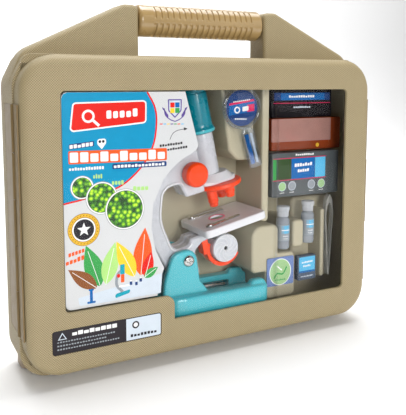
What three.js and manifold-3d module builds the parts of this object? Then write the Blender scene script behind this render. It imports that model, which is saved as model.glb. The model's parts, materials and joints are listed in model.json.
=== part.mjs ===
// A children's microscope stored in its carrying case, in millimetres, +Z up.
// The case stands upright on its feet. Its front, with the window, faces -Y, and +X is to the right.
// The origin is under the middle of the case, on the surface that the feet stand on.
import * as THREE from "three";
import { mergeVertices } from "three/addons/utils/BufferGeometryUtils.js";
import Module from "manifold-3d";

const wasm = await Module();
wasm.setup();

// ---------------------------------------------------------------- driving dimensions
const GAP = 0.3; // clearance kept between neighbouring pieces

const CASE = {
  halfWidth: 184.5,
  bottom: 4.5,
  top: 285,
  corner: 26,
  front: -16.6,
  back: 39,
  wall: 2.6,
  edge: 8,
};
const SHOULDER = { x: 173, z: 262, round: 24, topRound: 10 }; // the rear shell's slanted upper corners
const SILL = { bottom: 11.6, corner: 30.4, depth: 2.6 }; // the rear shell's opening, which the lid closes
const LID = { halfWidth: 183, bottom: 10, top: 284, corner: 32, front: -39, back: -17, wall: 3, edge: 9 };
const WINDOW = { halfWidth: 150, bottom: 43, top: 254, stepX: -48, stepZ: 66, corner: 4, stepCorner: 9 };
const LABEL = { left: -162, right: -62, bottom: 31, top: 52, depth: 0.8 };
const FILM = { front: -35.8, back: -35.3, overlap: 6 };
const RETAINER = { front: -35.1, back: -33.3, overlap: 9 };
const CARD = { front: -35.1, back: -34.7 };
const HORN = { inner: 68, topOuter: 82, top: 331, heel: 174, heelTop: 287.6, front: -8, back: 22, wall: 3 };
const HANDLE = { y: 7, z: 318, gripRadius: 15, gripHalf: 66.5, rodRadius: 6, rodHalf: 72 };
const HINGE = {
  x: 184.6,
  y: -16.8,
  pin: 0.8,
  barrel: 1.5,
  bottom: 45,
  knuckle: 39.6,
  knuckles: 5,
  slack: 0.4,
};
const STRAP = { inner: 183.3, outer: 184.4, lidEdge: -33, backEdge: 18 };
const LATCH_Y = 15;
const FOOT = {
  outer: 178,
  inner: 124,
  front: -8,
  back: 37,
  heelFront: 17,
  heelWidth: 28,
  corner: 8,
  edge: 2.5,
};
const TRAY = {
  halfWidth: 180.2,
  bottom: 12.8,
  top: 281.2,
  corner: 28.5,
  front: -15.8,
  back: 36.1,
  sheet: 1.4,
};
const BLISTER = { front: -32.9, sheet: 0.5, flange: -16.6 };

const PIVOT = { x: -25, z: 90.5 }; // tilt axis of the microscope, along Y
const LEAN = THREE.MathUtils.degToRad(12); // how far the stored microscope leans back
const BASE = { left: -54, right: 63.5, half: 31, bottom: 38, deck: 58, pan: 46, panHalf: 17 };
const EAR = { inner: 13.5, outer: 21 };
const SCREW = { shank: 2.4, head: 5.6 };

// Inside the leaning microscope, x and z are measured from the tilt axis, with z along the tube.
const ARM = { half: 12, blockRight: 36.4, blockBottom: 58, blockTop: 101 };
const TUBE = { x: 48.6, radius: 11.5, bottom: 72.4, top: 113.6, bore: 9, spigot: 10 };
const NOSE = { bottom: 61.5, top: 72.1, tip: 75.2 };
const SLEEVE = { bottom: 113.9, top: 160, radius: 13, collar: 14.8, bore: 10.3 };
const TURRET = { x: 58.9, radius: 22.5, top: 61.2, bottom: 55.5, circle: 10.4 };
const STAGE = { left: 20, right: 90, half: 30, top: 25, bottom: 17, wall: 2, corner: 5 };
const KNOB = { x: 25.5, z: 79.5, radius: 12, inner: 14, outer: 26 };
const PINION = { teeth: 16, module: 1, half: 3 };
const DRUM = { x: 47, z: -5.5, radius: 14.6, half: 11 };

// ---------------------------------------------------------------- materials
const finish = (color, roughness, metalness = 0, opacity = 1) =>
  new THREE.MeshStandardMaterial({ color, roughness, metalness, opacity, transparent: opacity < 1 });
const MAT = {
  caseBeige: finish(0xb8aa86, 0.6),
  strapBeige: finish(0xa99d7e, 0.45),
  gripBeige: finish(0xc4ae7c, 0.35),
  footGrey: finish(0x7d7060, 0.5),
  trayBeige: finish(0xaaa184, 0.5),
  clear: finish(0xf2f6f6, 0.08, 0, 0.2),
  card: finish(0xe9edef, 0.5),
  labelDark: finish(0x3c3a3e, 0.5),
  scopeGrey: finish(0xcfd2d8, 0.35),
  teal: finish(0x2fa3b3, 0.25),
  orange: finish(0xf4501e, 0.3),
  steel: finish(0xc9c9c6, 0.25, 1),
  mirror: finish(0xe8eaec, 0.05, 1),
  darkBox: finish(0x1d2a3f, 0.4),
  amber: finish(0xb0532a, 0.3, 0, 0.6),
  packGrey: finish(0x5d6e78, 0.45),
  liquid: finish(0xb9c4c8, 0.1, 0, 0.5),
  paperBlue: finish(0x4a8fc4, 0.5),
  paperViolet: finish(0x7d8fb8, 0.5),
};

// ---------------------------------------------------------------- solids
function toSolid(geometry) {
  const flat = geometry.index ? geometry.toNonIndexed() : geometry.clone();
  flat.deleteAttribute("normal");
  flat.deleteAttribute("uv");
  const merged = mergeVertices(flat, 1e-3);
  return new wasm.Manifold(
    new wasm.Mesh({
      numProp: 3,
      vertProperties: merged.attributes.position.array,
      triVerts: new Uint32Array(merged.index.array),
    }),
  );
}

function toGeometry(solid) {
  const made = solid.getMesh();
  const positions = new Float32Array(made.numVert * 3);
  for (let i = 0; i < made.numVert; i++) {
    const at = i * made.numProp;
    positions.set(made.vertProperties.subarray(at, at + 3), i * 3);
  }
  const geometry = new THREE.BufferGeometry();
  geometry.setAttribute("position", new THREE.BufferAttribute(positions, 3));
  geometry.setIndex(new THREE.BufferAttribute(new Uint32Array(made.triVerts), 1));
  return geometry;
}

const join = (...solids) => solids.reduce((all, next) => all.add(next));
const cut = (solid, ...tools) => tools.reduce((left, tool) => left.subtract(tool), solid);

// A box between two corners.
function box(x0, x1, y0, y1, z0, z1) {
  const geometry = new THREE.BoxGeometry(x1 - x0, y1 - y0, z1 - z0);
  geometry.translate((x0 + x1) / 2, (y0 + y1) / 2, (z0 + z1) / 2);
  return toSolid(geometry);
}

// A polygon whose corners are rounded by arcs. Each point is [across, up, radius].
// An arc takes at most half of either edge beside its corner.
function roundedShape(points) {
  const shape = new THREE.Shape();
  const count = points.length;
  points.forEach(([x, y, wanted = 0], i) => {
    if (wanted === 0) {
      if (i === 0) shape.moveTo(x, y);
      else shape.lineTo(x, y);
      return;
    }
    const here = new THREE.Vector2(x, y);
    const before = new THREE.Vector2(...points[(i + count - 1) % count]).sub(here);
    const after = new THREE.Vector2(...points[(i + 1) % count]).sub(here);
    const room = 0.48 * Math.min(before.length(), after.length());
    before.normalize();
    after.normalize();
    const halfAngle = Math.acos(THREE.MathUtils.clamp(before.dot(after), -1, 1)) / 2;
    const reach = Math.min(wanted / Math.tan(halfAngle), room);
    const radius = reach * Math.tan(halfAngle);
    const start = here.clone().addScaledVector(before, reach);
    const end = here.clone().addScaledVector(after, reach);
    const middle = before.clone().add(after).normalize();
    const centre = here.clone().addScaledVector(middle, radius / Math.sin(halfAngle));
    const clockwise = before.cross(after) > 0;
    if (i === 0) shape.moveTo(start.x, start.y);
    else shape.lineTo(start.x, start.y);
    shape.absarc(
      centre.x,
      centre.y,
      radius,
      Math.atan2(start.y - centre.y, start.x - centre.x),
      Math.atan2(end.y - centre.y, end.x - centre.x),
      clockwise,
    );
  });
  shape.closePath();
  return shape;
}

const circle = (x, z, radius) => new THREE.Shape().absarc(x, z, radius, 0, 2 * Math.PI, false);

const roundedRect = (x0, z0, x1, z1, radius) =>
  roundedShape([
    [x0, z0, radius],
    [x1, z0, radius],
    [x1, z1, radius],
    [x0, z1, radius],
  ]);

// A shape extruded along its own normal, with both rims rounded by edge.
function extrude(shape, depth, { edge = 0, edgeSteps = 2, steps = 3 } = {}) {
  const geometry = new THREE.ExtrudeGeometry(shape, {
    depth: depth - 2 * edge,
    curveSegments: steps,
    bevelEnabled: edge > 0,
    bevelThickness: edge,
    bevelSize: edge,
    bevelOffset: -edge,
    bevelSegments: edgeSteps,
  });
  return geometry.translate(0, 0, edge);
}

// An x-z outline that runs along Y from yFront to yBack.
const plateY = (shape, yFront, yBack, options) =>
  toSolid(
    extrude(shape, yBack - yFront, options)
      .rotateX(Math.PI / 2)
      .translate(0, yBack, 0),
  );

// An x-y outline that runs up Z from z0 to z1.
const plateZ = (shape, z0, z1, options) => toSolid(extrude(shape, z1 - z0, options).translate(0, 0, z0));

// A turned piece round a vertical line through (x, y). The profile lists [radius, z] from bottom to top.
function turned(profile, x = 0, y = 0, segments = 28) {
  const points = profile.map(([radius, z]) => new THREE.Vector2(radius, z));
  return toSolid(new THREE.LatheGeometry(points, segments).rotateX(Math.PI / 2).translate(x, y, 0));
}

// A rod along Y or X, from one end to the other.
function rod(axis, a, b, from, to, radius, segments = 24) {
  const geometry = new THREE.CylinderGeometry(radius, radius, to - from, segments);
  if (axis === "y") geometry.translate(a, (from + to) / 2, b);
  if (axis === "z") geometry.rotateX(Math.PI / 2).translate(a, b, (from + to) / 2);
  if (axis === "x") geometry.rotateZ(Math.PI / 2).translate((from + to) / 2, a, b);
  return toSolid(geometry);
}

const mirrored = (points) => points.map(([x, z, radius]) => [-x, z, radius]).reverse();

const microscopeCase = new THREE.Group();
const scope = new THREE.Group(); // everything that leans with the microscope's arm
scope.position.set(PIVOT.x, 0, PIVOT.z);
scope.rotation.y = -LEAN;
microscopeCase.add(scope);

function place(parent, name, solid, material) {
  const mesh = new THREE.Mesh(toGeometry(solid), material);
  mesh.name = name;
  parent.add(mesh);
}
const inCase = (name, solid, material) => place(microscopeCase, name, solid, material);
const inScope = (name, solid, material) => place(scope, name, solid, material);

// ---------------------------------------------------------------- carrying case: rear shell
// The outline grown by a distance. A corner between slanted edges moves by its own share of that distance.
function shellOutline(grow) {
  const side = CASE.halfWidth + grow;
  const shoulder = [side, SHOULDER.z + 0.235 * grow, SHOULDER.round + grow];
  const crown = [SHOULDER.x + 0.618 * grow, CASE.top + grow, SHOULDER.topRound + grow];
  const [right, left] = [1, -1].map((sign) =>
    [shoulder, crown].map(([x, z, radius]) => [sign * x, z, radius]),
  );
  return roundedShape([
    [-side, CASE.bottom - grow, CASE.corner + grow],
    [side, CASE.bottom - grow, CASE.corner + grow],
    ...right,
    ...left.reverse(),
  ]);
}

function hornPoints(inset) {
  const slope = Math.atan2(HORN.top - HORN.heelTop, HORN.heel - HORN.topOuter);
  const low = CASE.top - 12;
  return [
    [-HORN.inner - inset, low],
    [-HORN.inner - inset, HORN.top - inset, 5],
    [-HORN.topOuter - inset * Math.tan(slope / 2), HORN.top - inset, 8],
    [-HORN.heel + 0.78 * inset, HORN.heelTop - 0.74 * inset, 24],
    [-CASE.halfWidth + inset, SHOULDER.z - 0.2 * inset, 20],
    [-CASE.halfWidth + inset, low - 30],
    [-CASE.halfWidth + CASE.wall + inset + 24, low - 30],
  ];
}

const strapTop = HINGE.bottom + HINGE.knuckle * HINGE.knuckles;

// Room in a wall for the barrels of the hinge or the latch.
const pinClearance = (x, y) => rod("z", x, y, HINGE.bottom - GAP, strapTop + GAP, HINGE.barrel + 0.4, 16);

function rearShell() {
  const body = plateY(shellOutline(0), CASE.front - CASE.edge - 1, CASE.back, {
    edge: CASE.edge,
    edgeSteps: 3,
    steps: 4,
  });
  const keep = box(-200, 200, CASE.front, CASE.back + 1, 0, 340);
  const hornOptions = { edge: 3.5, edgeSteps: 2, steps: 2 };
  const horns = [hornPoints(0), mirrored(hornPoints(0))].map((points) =>
    plateY(roundedShape(points), HORN.front, HORN.back, hornOptions),
  );
  const cavity = plateY(shellOutline(-CASE.wall), CASE.front + SILL.depth, CASE.back - CASE.wall, { steps: 4 });
  const opening = plateY(
    roundedRect(
      -CASE.halfWidth + CASE.wall,
      SILL.bottom,
      CASE.halfWidth - CASE.wall,
      CASE.top - CASE.wall,
      SILL.corner,
    ),
    CASE.front - 1,
    CASE.front + SILL.depth + 1,
    { steps: 4 },
  );
  const pockets = [hornPoints(HORN.wall), mirrored(hornPoints(HORN.wall))].map((points) =>
    plateY(roundedShape(points), HORN.front + HORN.wall, HORN.back - HORN.wall, { steps: 2 }),
  );
  const straps = [-1, 1].map((side) => {
    const edges = [side * (STRAP.inner - GAP), side * (STRAP.outer + 1)].sort((a, b) => a - b);
    return box(...edges, CASE.front - 1, STRAP.backEdge + GAP, HINGE.bottom - GAP, strapTop + GAP);
  });
  return cut(
    join(body.intersect(keep), ...horns),
    cavity,
    opening,
    ...pockets,
    ...straps,
    pinClearance(-HINGE.x, HINGE.y),
    pinClearance(HINGE.x, LATCH_Y),
    rod("x", HANDLE.y, HANDLE.z, -HANDLE.rodHalf - 1, HANDLE.rodHalf + 1, HANDLE.rodRadius + 0.2, 20),
  );
}

// A foot seen from above is a block whose outer front corner is cut off at a slant.
function foot(side) {
  const top = 24;
  const edges = [side * FOOT.inner, side * FOOT.outer].sort((a, b) => a - b);
  const outline = roundedShape([
    [side * FOOT.inner, FOOT.front, FOOT.corner],
    [side * (FOOT.outer - FOOT.heelWidth), FOOT.front, FOOT.corner],
    [side * FOOT.outer, FOOT.heelFront, FOOT.corner],
    [side * FOOT.outer, FOOT.back, FOOT.corner],
    [side * FOOT.inner, FOOT.back, FOOT.corner],
  ]);
  const block = plateZ(outline, 0, top + 6, { edge: FOOT.edge, edgeSteps: 2, steps: 2 }).intersect(
    box(...edges, FOOT.front, FOOT.back, 0, top),
  );
  const hull = plateY(shellOutline(GAP), -60, 80, { steps: 4 });
  return cut(block, hull);
}

inCase("rear_shell", rearShell(), MAT.caseBeige);
inCase("foot_left", foot(-1), MAT.footGrey);
inCase("foot_right", foot(1), MAT.footGrey);

// ---------------------------------------------------------------- carrying case: handle
const gripEnd = HANDLE.gripHalf;
const grip = toSolid(
  new THREE.LatheGeometry(
    [
      [HANDLE.rodRadius + 0.3, -gripEnd],
      [HANDLE.gripRadius - 2.5, -gripEnd],
      [HANDLE.gripRadius - 0.8, -gripEnd + 0.8],
      [HANDLE.gripRadius, -gripEnd + 2.5],
      [HANDLE.gripRadius, gripEnd - 2.5],
      [HANDLE.gripRadius - 0.8, gripEnd - 0.8],
      [HANDLE.gripRadius - 2.5, gripEnd],
      [HANDLE.rodRadius + 0.3, gripEnd],
      [HANDLE.rodRadius + 0.3, -gripEnd],
    ].map(([radius, along]) => new THREE.Vector2(radius, along)),
    28,
  )
    .rotateZ(-Math.PI / 2)
    .translate(0, HANDLE.y, HANDLE.z),
);
inCase("handle_grip", grip, MAT.gripBeige);
inCase(
  "handle_rod",
  rod("x", HANDLE.y, HANDLE.z, -HANDLE.rodHalf, HANDLE.rodHalf, HANDLE.rodRadius, 20),
  MAT.caseBeige,
);

// ---------------------------------------------------------------- carrying case: hinge strap and latch
function hingeLeaf(edgeNear, edgeFar, first) {
  const leaf = box(-STRAP.outer, -STRAP.inner, edgeNear, edgeFar, HINGE.bottom, strapTop);
  const towardsPin = edgeFar < HINGE.y ? [edgeFar - 0.1, HINGE.y] : [HINGE.y, edgeNear + 0.1];
  let solid = leaf;
  for (let i = first; i < HINGE.knuckles; i += 2) {
    const z0 = HINGE.bottom + i * HINGE.knuckle + (i ? HINGE.slack / 2 : 0);
    const z1 = HINGE.bottom + (i + 1) * HINGE.knuckle - (i < HINGE.knuckles - 1 ? HINGE.slack / 2 : 0);
    solid = join(
      solid,
      rod("z", -HINGE.x, HINGE.y, z0, z1, HINGE.barrel, 16),
      box(-STRAP.outer, -STRAP.inner, ...towardsPin, z0, z1),
    );
  }
  return cut(solid, rod("z", -HINGE.x, HINGE.y, HINGE.bottom - 1, strapTop + 1, HINGE.pin + 0.08, 16));
}

inCase("hinge_leaf_rear", hingeLeaf(HINGE.y + 3, STRAP.backEdge, 0), MAT.strapBeige);
inCase("hinge_leaf_lid", hingeLeaf(STRAP.lidEdge, HINGE.y - 3, 1), MAT.strapBeige);
inCase(
  "hinge_pin",
  rod("z", -HINGE.x, HINGE.y, HINGE.bottom, strapTop, HINGE.pin, 16),
  MAT.steel,
);

function sideLatch() {
  const lever = box(STRAP.inner, STRAP.outer, STRAP.lidEdge, LATCH_Y, HINGE.bottom, strapTop);
  const lip = box(STRAP.outer - 0.4, STRAP.outer + 0.5, STRAP.lidEdge, STRAP.lidEdge + 6, 110, 178);
  const barrel = rod("z", HINGE.x, LATCH_Y, HINGE.bottom, strapTop, HINGE.barrel, 16);
  return cut(
    join(lever, lip, barrel),
    rod("z", HINGE.x, LATCH_Y, HINGE.bottom - 1, strapTop + 1, HINGE.pin + 0.08, 16),
  );
}
inCase("side_latch", sideLatch(), MAT.strapBeige);
inCase(
  "latch_pin",
  rod("z", HINGE.x, LATCH_Y, HINGE.bottom, strapTop, HINGE.pin, 16),
  MAT.steel,
);

// ---------------------------------------------------------------- carrying case: lid
// The window is a rectangle whose lower left corner is stepped up, over the label.
function windowShape(grow, corner) {
  const left = -WINDOW.halfWidth - grow;
  const right = WINDOW.halfWidth + grow;
  const bottom = WINDOW.bottom - grow;
  const top = WINDOW.top + grow;
  return roundedShape([
    [left, WINDOW.stepZ - grow, corner],
    [WINDOW.stepX - grow, WINDOW.stepZ - grow, WINDOW.stepCorner],
    [WINDOW.stepX - grow, bottom, 1],
    [right, bottom, corner],
    [right, top, corner],
    [left, top, corner],
  ]);
}

function lidFrame() {
  const outline = roundedRect(-LID.halfWidth, LID.bottom, LID.halfWidth, LID.top, LID.corner);
  const body = plateY(outline, LID.front, LID.back + LID.edge + 1, { edge: LID.edge, edgeSteps: 3, steps: 4 });
  const keep = box(-200, 200, LID.front - 1, LID.back, 0, 340);
  const cavityOutline = roundedRect(
    -LID.halfWidth + LID.wall,
    LID.bottom + LID.wall,
    LID.halfWidth - LID.wall,
    LID.top - LID.wall,
    LID.corner - LID.wall,
  );
  const cavity = plateY(cavityOutline, LID.front + LID.wall, LID.back + 20, { edge: 6, edgeSteps: 2, steps: 4 });
  const label = plateY(
    roundedRect(LABEL.left - GAP, LABEL.bottom - GAP, LABEL.right + GAP, LABEL.top + GAP, 2.5),
    LID.front - 1,
    LID.front + LABEL.depth,
    { steps: 2 },
  );
  return cut(
    body.intersect(keep),
    cavity,
    label,
    plateY(windowShape(0, WINDOW.corner), LID.front - 1, LID.front + 6, { steps: 2 }),
    pinClearance(-HINGE.x, HINGE.y),
  );
}
inCase("lid_frame", lidFrame(), MAT.caseBeige);
inCase("window_film", plateY(windowShape(FILM.overlap, 4), FILM.front, FILM.back, { steps: 2 }), MAT.clear);
inCase(
  "window_retainer",
  cut(
    plateY(windowShape(RETAINER.overlap, 5), RETAINER.front, RETAINER.back, { steps: 2 }),
    plateY(windowShape(1, 4), RETAINER.front - 1, RETAINER.back + 1, { steps: 2 }),
  ),
  MAT.trayBeige,
);
inCase(
  "label_plate",
  plateY(
    roundedRect(LABEL.left, LABEL.bottom, LABEL.right, LABEL.top, 2.2),
    LID.front + 0.15,
    LID.front + LABEL.depth - 0.1,
    { steps: 2 },
  ),
  MAT.labelDark,
);

// The printed card fills the left of the window, and its right edge sweeps round the microscope.
function cardShape() {
  const left = -WINDOW.halfWidth + 1.2;
  const top = WINDOW.top - 1.2;
  const shape = new THREE.Shape();
  shape.moveTo(left + 5, WINDOW.stepZ + 1);
  shape.lineTo(-64, WINDOW.stepZ + 1);
  shape.quadraticCurveTo(-61, 82, -57, 92);
  shape.bezierCurveTo(-70, 112, -77, 146, -57, 174);
  shape.bezierCurveTo(-48, 186, -38, 192, -27, 197);
  shape.quadraticCurveTo(-21, 200, -22, 205);
  shape.lineTo(-35, top);
  shape.lineTo(left + 5, top);
  shape.absarc(left + 5, top - 5, 5, Math.PI / 2, Math.PI, false);
  shape.lineTo(left, WINDOW.stepZ + 6);
  shape.absarc(left + 5, WINDOW.stepZ + 6, 5, Math.PI, 1.5 * Math.PI, false);
  return shape;
}
inCase("printed_card", plateY(cardShape(), CARD.front, CARD.back, { steps: 4 }), MAT.card);

// ---------------------------------------------------------------- storage tray and clear blister
// Raised islands of the tray: an x-z outline, how far forward it comes, and the hollow behind it.
const ISLANDS = [
  {
    points: [[-66, 10], [66, 10], [66, 37.7, 3], [-66, 37.7, 3]],
    front: TRAY.front,
    hollow: [-64, 64, 15, 36],
  },
  {
    points: [
      [48, 66, 4],
      [65, 66, 2],
      [65, 36, 3],
      [102, 36, 4],
      [102, 84, 5],
      [80.5, 84, 2],
      [80.5, 115, 6],
      [48, 115, 12],
    ],
    front: -19.5,
    hollow: [67, 78.5, 38, 113],
  },
  {
    points: [[99, 88, 4], [112.5, 88, 4], [112.5, 117, 4], [99, 117, 4]],
    front: -19.5,
    hollow: [101, 110.5, 90, 115],
  },
  {
    points: [[13.7, 274], [26, 193, 4], [36, 183, 4], [55, 183, 5], [55, 274, 3]],
    front: -10,
    hollow: [31, 53, 190, 272],
  },
  {
    points: [[60.5, 119, 3], [69, 119, 3], [69, 272, 3], [60.5, 272, 3]],
    front: -17,
    hollow: [62.5, 67, 121, 270],
  },
  {
    points: [[115, 42, 4], [170, 42, 4], [170, 136, 4], [115, 136, 4]],
    front: 6,
    hollow: [117, 168, 44, 134],
  },
  {
    points: [[138, 50, 2], [143, 50, 2], [143, 125, 2], [138, 125, 2]],
    front: -16,
    hollow: [139.5, 141.5, 52, 123],
  },
  {
    points: [[-170, 20, 8], [-130, 20, 8], [-130, 120, 8], [-170, 120, 8]],
    front: TRAY.front,
    hollow: [-168, -132, 22, 118],
  },
];

function innerTray() {
  const outline = (inset) =>
    roundedRect(
      -TRAY.halfWidth + inset,
      TRAY.bottom + inset,
      TRAY.halfWidth - inset,
      TRAY.top - inset,
      TRAY.corner - inset,
    );
  const limit = plateY(outline(0), -60, TRAY.back, { steps: 3 });
  const pan = cut(
    plateY(outline(0), TRAY.front, TRAY.back, { steps: 3 }),
    plateY(outline(TRAY.sheet), TRAY.front - 1, TRAY.back - TRAY.sheet, { steps: 3 }),
  );
  const islands = ISLANDS.map(({ points, front }) =>
    plateY(roundedShape(points), front, TRAY.back, { steps: 2 }).intersect(limit),
  );
  const hollows = ISLANDS.map(({ front, hollow: [x0, x1, z0, z1] }) =>
    box(x0, x1, front + TRAY.sheet, TRAY.back + 1, z0, z1),
  );
  return cut(join(pan, ...islands), ...hollows);
}
inCase("inner_tray", innerTray(), MAT.trayBeige);

function blister() {
  const domes = [
    { x0: -125, x1: 70, z0: 24, z1: 276, front: BLISTER.front },
    { x0: 55, x1: 170, z0: 24, z1: 276, front: -24 },
  ];
  const t = BLISTER.sheet;
  const outer = domes.map((d) =>
    plateY(roundedRect(d.x0, d.z0, d.x1, d.z1, 10), d.front, BLISTER.flange + t, { steps: 2 }),
  );
  const inner = domes.map((d) =>
    plateY(roundedRect(d.x0 + t, d.z0 + t, d.x1 - t, d.z1 - t, 10 - t), d.front + t, BLISTER.flange + 5, {
      steps: 2,
    }),
  );
  const flange = plateY(
    roundedRect(-178, 15.5, 178, 278.5, 26),
    BLISTER.flange,
    BLISTER.flange + t,
    { steps: 3 },
  );
  return cut(join(flange, ...outer), ...inner);
}
inCase("clear_blister", blister(), MAT.clear);

// ---------------------------------------------------------------- microscope: base
function scopeBase() {
  const plan = roundedShape([
    [BASE.left, -BASE.half, 22],
    [BASE.right, -BASE.half, 9],
    [BASE.right, BASE.half, 9],
    [BASE.left, BASE.half, 22],
  ]);
  const body = plateZ(plan, BASE.bottom, BASE.deck, { edge: 3, edgeSteps: 2, steps: 2 });
  const ear = [
    [-52, BASE.deck - 6],
    [-50, 72, 12],
    [-41, 99, 13],
    [-16.5, 103, 12],
    [-12, 70, 6],
    [-2, BASE.deck - 1, 6],
    [0, BASE.deck - 6],
  ];
  const ears = [
    [-EAR.outer, -EAR.inner],
    [EAR.inner, EAR.outer],
  ].map(([y0, y1]) => plateY(roundedShape(ear), y0, y1, { edge: 1.5, edgeSteps: 1, steps: 2 }));
  const toe = roundedShape([
    [BASE.right - 25, BASE.deck - 6],
    [BASE.right - 19, 62.5, 5],
    [BASE.right - 4, 62.5, 4],
    [BASE.right - 1, BASE.deck - 6],
  ]);
  const toes = [
    [-BASE.half + 4, -BASE.panHalf - 1],
    [BASE.panHalf + 1, BASE.half - 4],
  ].map(([y0, y1]) => plateY(toe, y0, y1, { edge: 1.5, edgeSteps: 1, steps: 1 }));
  const pan = plateZ(
    roundedShape([
      [-4, -BASE.panHalf, 6],
      [BASE.right + 12, -BASE.panHalf],
      [BASE.right + 12, BASE.panHalf],
      [-4, BASE.panHalf, 6],
    ]),
    BASE.pan,
    BASE.deck + 20,
    { steps: 2 },
  );
  const armBay = box(-60, -4, -EAR.inner, EAR.inner, BASE.deck + 0.2, 110);
  const cells = [-1, 1].map((side) => box(-8, 42, side * 23 - 5.8, side * 23 + 5.8, BASE.bottom - 1, 51.6));
  const cover = box(-30, 48, -29, 29, BASE.bottom - 1, BASE.bottom + 2);
  const screwHole = rod("y", PIVOT.x, PIVOT.z, -40, 40, SCREW.shank + 0.3, 20);
  return cut(join(body, ...ears, ...toes), pan, armBay, ...cells, cover, screwHole);
}
inCase("scope_base", scopeBase(), MAT.teal);
inCase(
  "battery_cover",
  box(-29.6, 47.6, -28.6, 28.6, BASE.bottom, BASE.bottom + 1.6),
  MAT.teal,
);
for (const [name, side] of [
  ["battery_front", -1],
  ["battery_back", 1],
]) {
  const cell = join(
    rod("x", side * 23, 45.8, -6, 38, 5.2, 20),
    rod("x", side * 23, 45.8, 37.5, 39.2, 1.8, 12),
  );
  inCase(name, cell, MAT.steel);
}
const tiltScrew = join(
  rod("y", PIVOT.x, PIVOT.z, -EAR.outer - 2.6, -EAR.outer - 0.2, SCREW.head, 24),
  rod("y", PIVOT.x, PIVOT.z, -EAR.outer - 1, EAR.outer + 6, SCREW.shank, 20),
);
const driverSlot = box(PIVOT.x - 4, PIVOT.x + 4, -30, -EAR.outer - 1.6, PIVOT.z - 0.6, PIVOT.z + 0.6);
inCase("tilt_screw", cut(tiltScrew, driverSlot), MAT.steel);
inCase(
  "tilt_nut",
  cut(
    rod("y", PIVOT.x, PIVOT.z, EAR.outer + 0.3, EAR.outer + 4.3, 5, 6),
    rod("y", PIVOT.x, PIVOT.z, 0, 40, SCREW.shank + 0.1, 20),
  ),
  MAT.steel,
);

// ---------------------------------------------------------------- microscope: arm and stage
const armPoints = [
  [-9, -22, 8],
  [-20, -4, 20],
  [-33, 34, 60],
  [-31, 62, 30],
  [-16, 90, 30],
  [10, ARM.blockTop, 20],
  [ARM.blockRight, ARM.blockTop, 2],
  [ARM.blockRight, ARM.blockBottom, 2],
  [15, ARM.blockBottom, 3],
  [11, 72.5, 4],
  [-6, 72.5, 13],
  [-15, 44, 40],
  [-9, 11, 10],
  [7, 11, 7],
  [11, STAGE.bottom - GAP],
  [44, STAGE.bottom - GAP],
  [44, 12, 2],
  [22, 9, 4],
  [13, 3, 4],
  [14, -22, 4],
];

function armHalf(yFront, yBack) {
  const plate = plateY(roundedShape(armPoints), yFront, yBack, { edge: 1.6, edgeSteps: 1, steps: 2 });
  return cut(
    plate,
    rod("y", 0, 0, -40, 40, SCREW.shank + 0.3, 20),
    rod("y", KNOB.x, KNOB.z, -40, 40, 3.3, 20),
    // the bay that the pinion turns in, open to the rack
    box(KNOB.x - 10.5, ARM.blockRight + 1, -PINION.half - 1, PINION.half + 1, KNOB.z - 10.5, KNOB.z + 10.5),
    // the slot that the rack slides in
    box(29, ARM.blockRight + 1, -PINION.half - 1, PINION.half + 1, ARM.blockBottom - 1, ARM.blockTop + 1),
  );
}
inScope("arm_front_half", armHalf(-ARM.half, -0.15), MAT.scopeGrey);
inScope("arm_back_half", armHalf(0.15, ARM.half), MAT.scopeGrey);

function stagePlate() {
  const plan = (inset) =>
    roundedRect(
      STAGE.left + inset,
      -STAGE.half + inset,
      STAGE.right - inset,
      STAGE.half - inset,
      STAGE.corner - inset,
    );
  return cut(
    plateZ(plan(0), STAGE.bottom, STAGE.top, { edge: 1, edgeSteps: 2, steps: 2 }),
    plateZ(plan(STAGE.wall), STAGE.bottom - 1, STAGE.top - STAGE.wall, { steps: 2 }),
    rod("z", TUBE.x, 0, 0, 40, 6.5, 24),
    rod("z", 30, -20, 20, 40, 1.7, 12),
    rod("z", 30, 20, 20, 40, 1.7, 12),
  );
}
inScope("stage", stagePlate(), MAT.scopeGrey);
inScope(
  "stage_bracket",
  cut(
    box(STAGE.left + STAGE.wall + 0.5, 43, -9, 9, STAGE.bottom + 0.1, STAGE.top - STAGE.wall - GAP),
    rod("z", 30, 0, 0, 40, 1.6, 12),
  ),
  MAT.scopeGrey,
);

function stageClip(y, inward) {
  const strip = plateZ(
    roundedShape([
      [26, y - 3.5, 3],
      [66, y - 2.5 + inward * 3, 2],
      [66, y + 2.5 + inward * 3, 2],
      [26, y + 3.5, 3],
    ]),
    STAGE.top + 0.3,
    STAGE.top + 1.1,
    { steps: 2 },
  );
  return join(
    strip,
    rod("z", 30, y, STAGE.top - 2.5, STAGE.top + 0.6, 1.4, 12),
    rod("z", 30, y, STAGE.top + 0.8, STAGE.top + 2.4, 2.8, 16),
  );
}
inScope("stage_clip_front", stageClip(-20, 1), MAT.steel);
inScope("stage_clip_back", stageClip(20, -1), MAT.steel);

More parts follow.
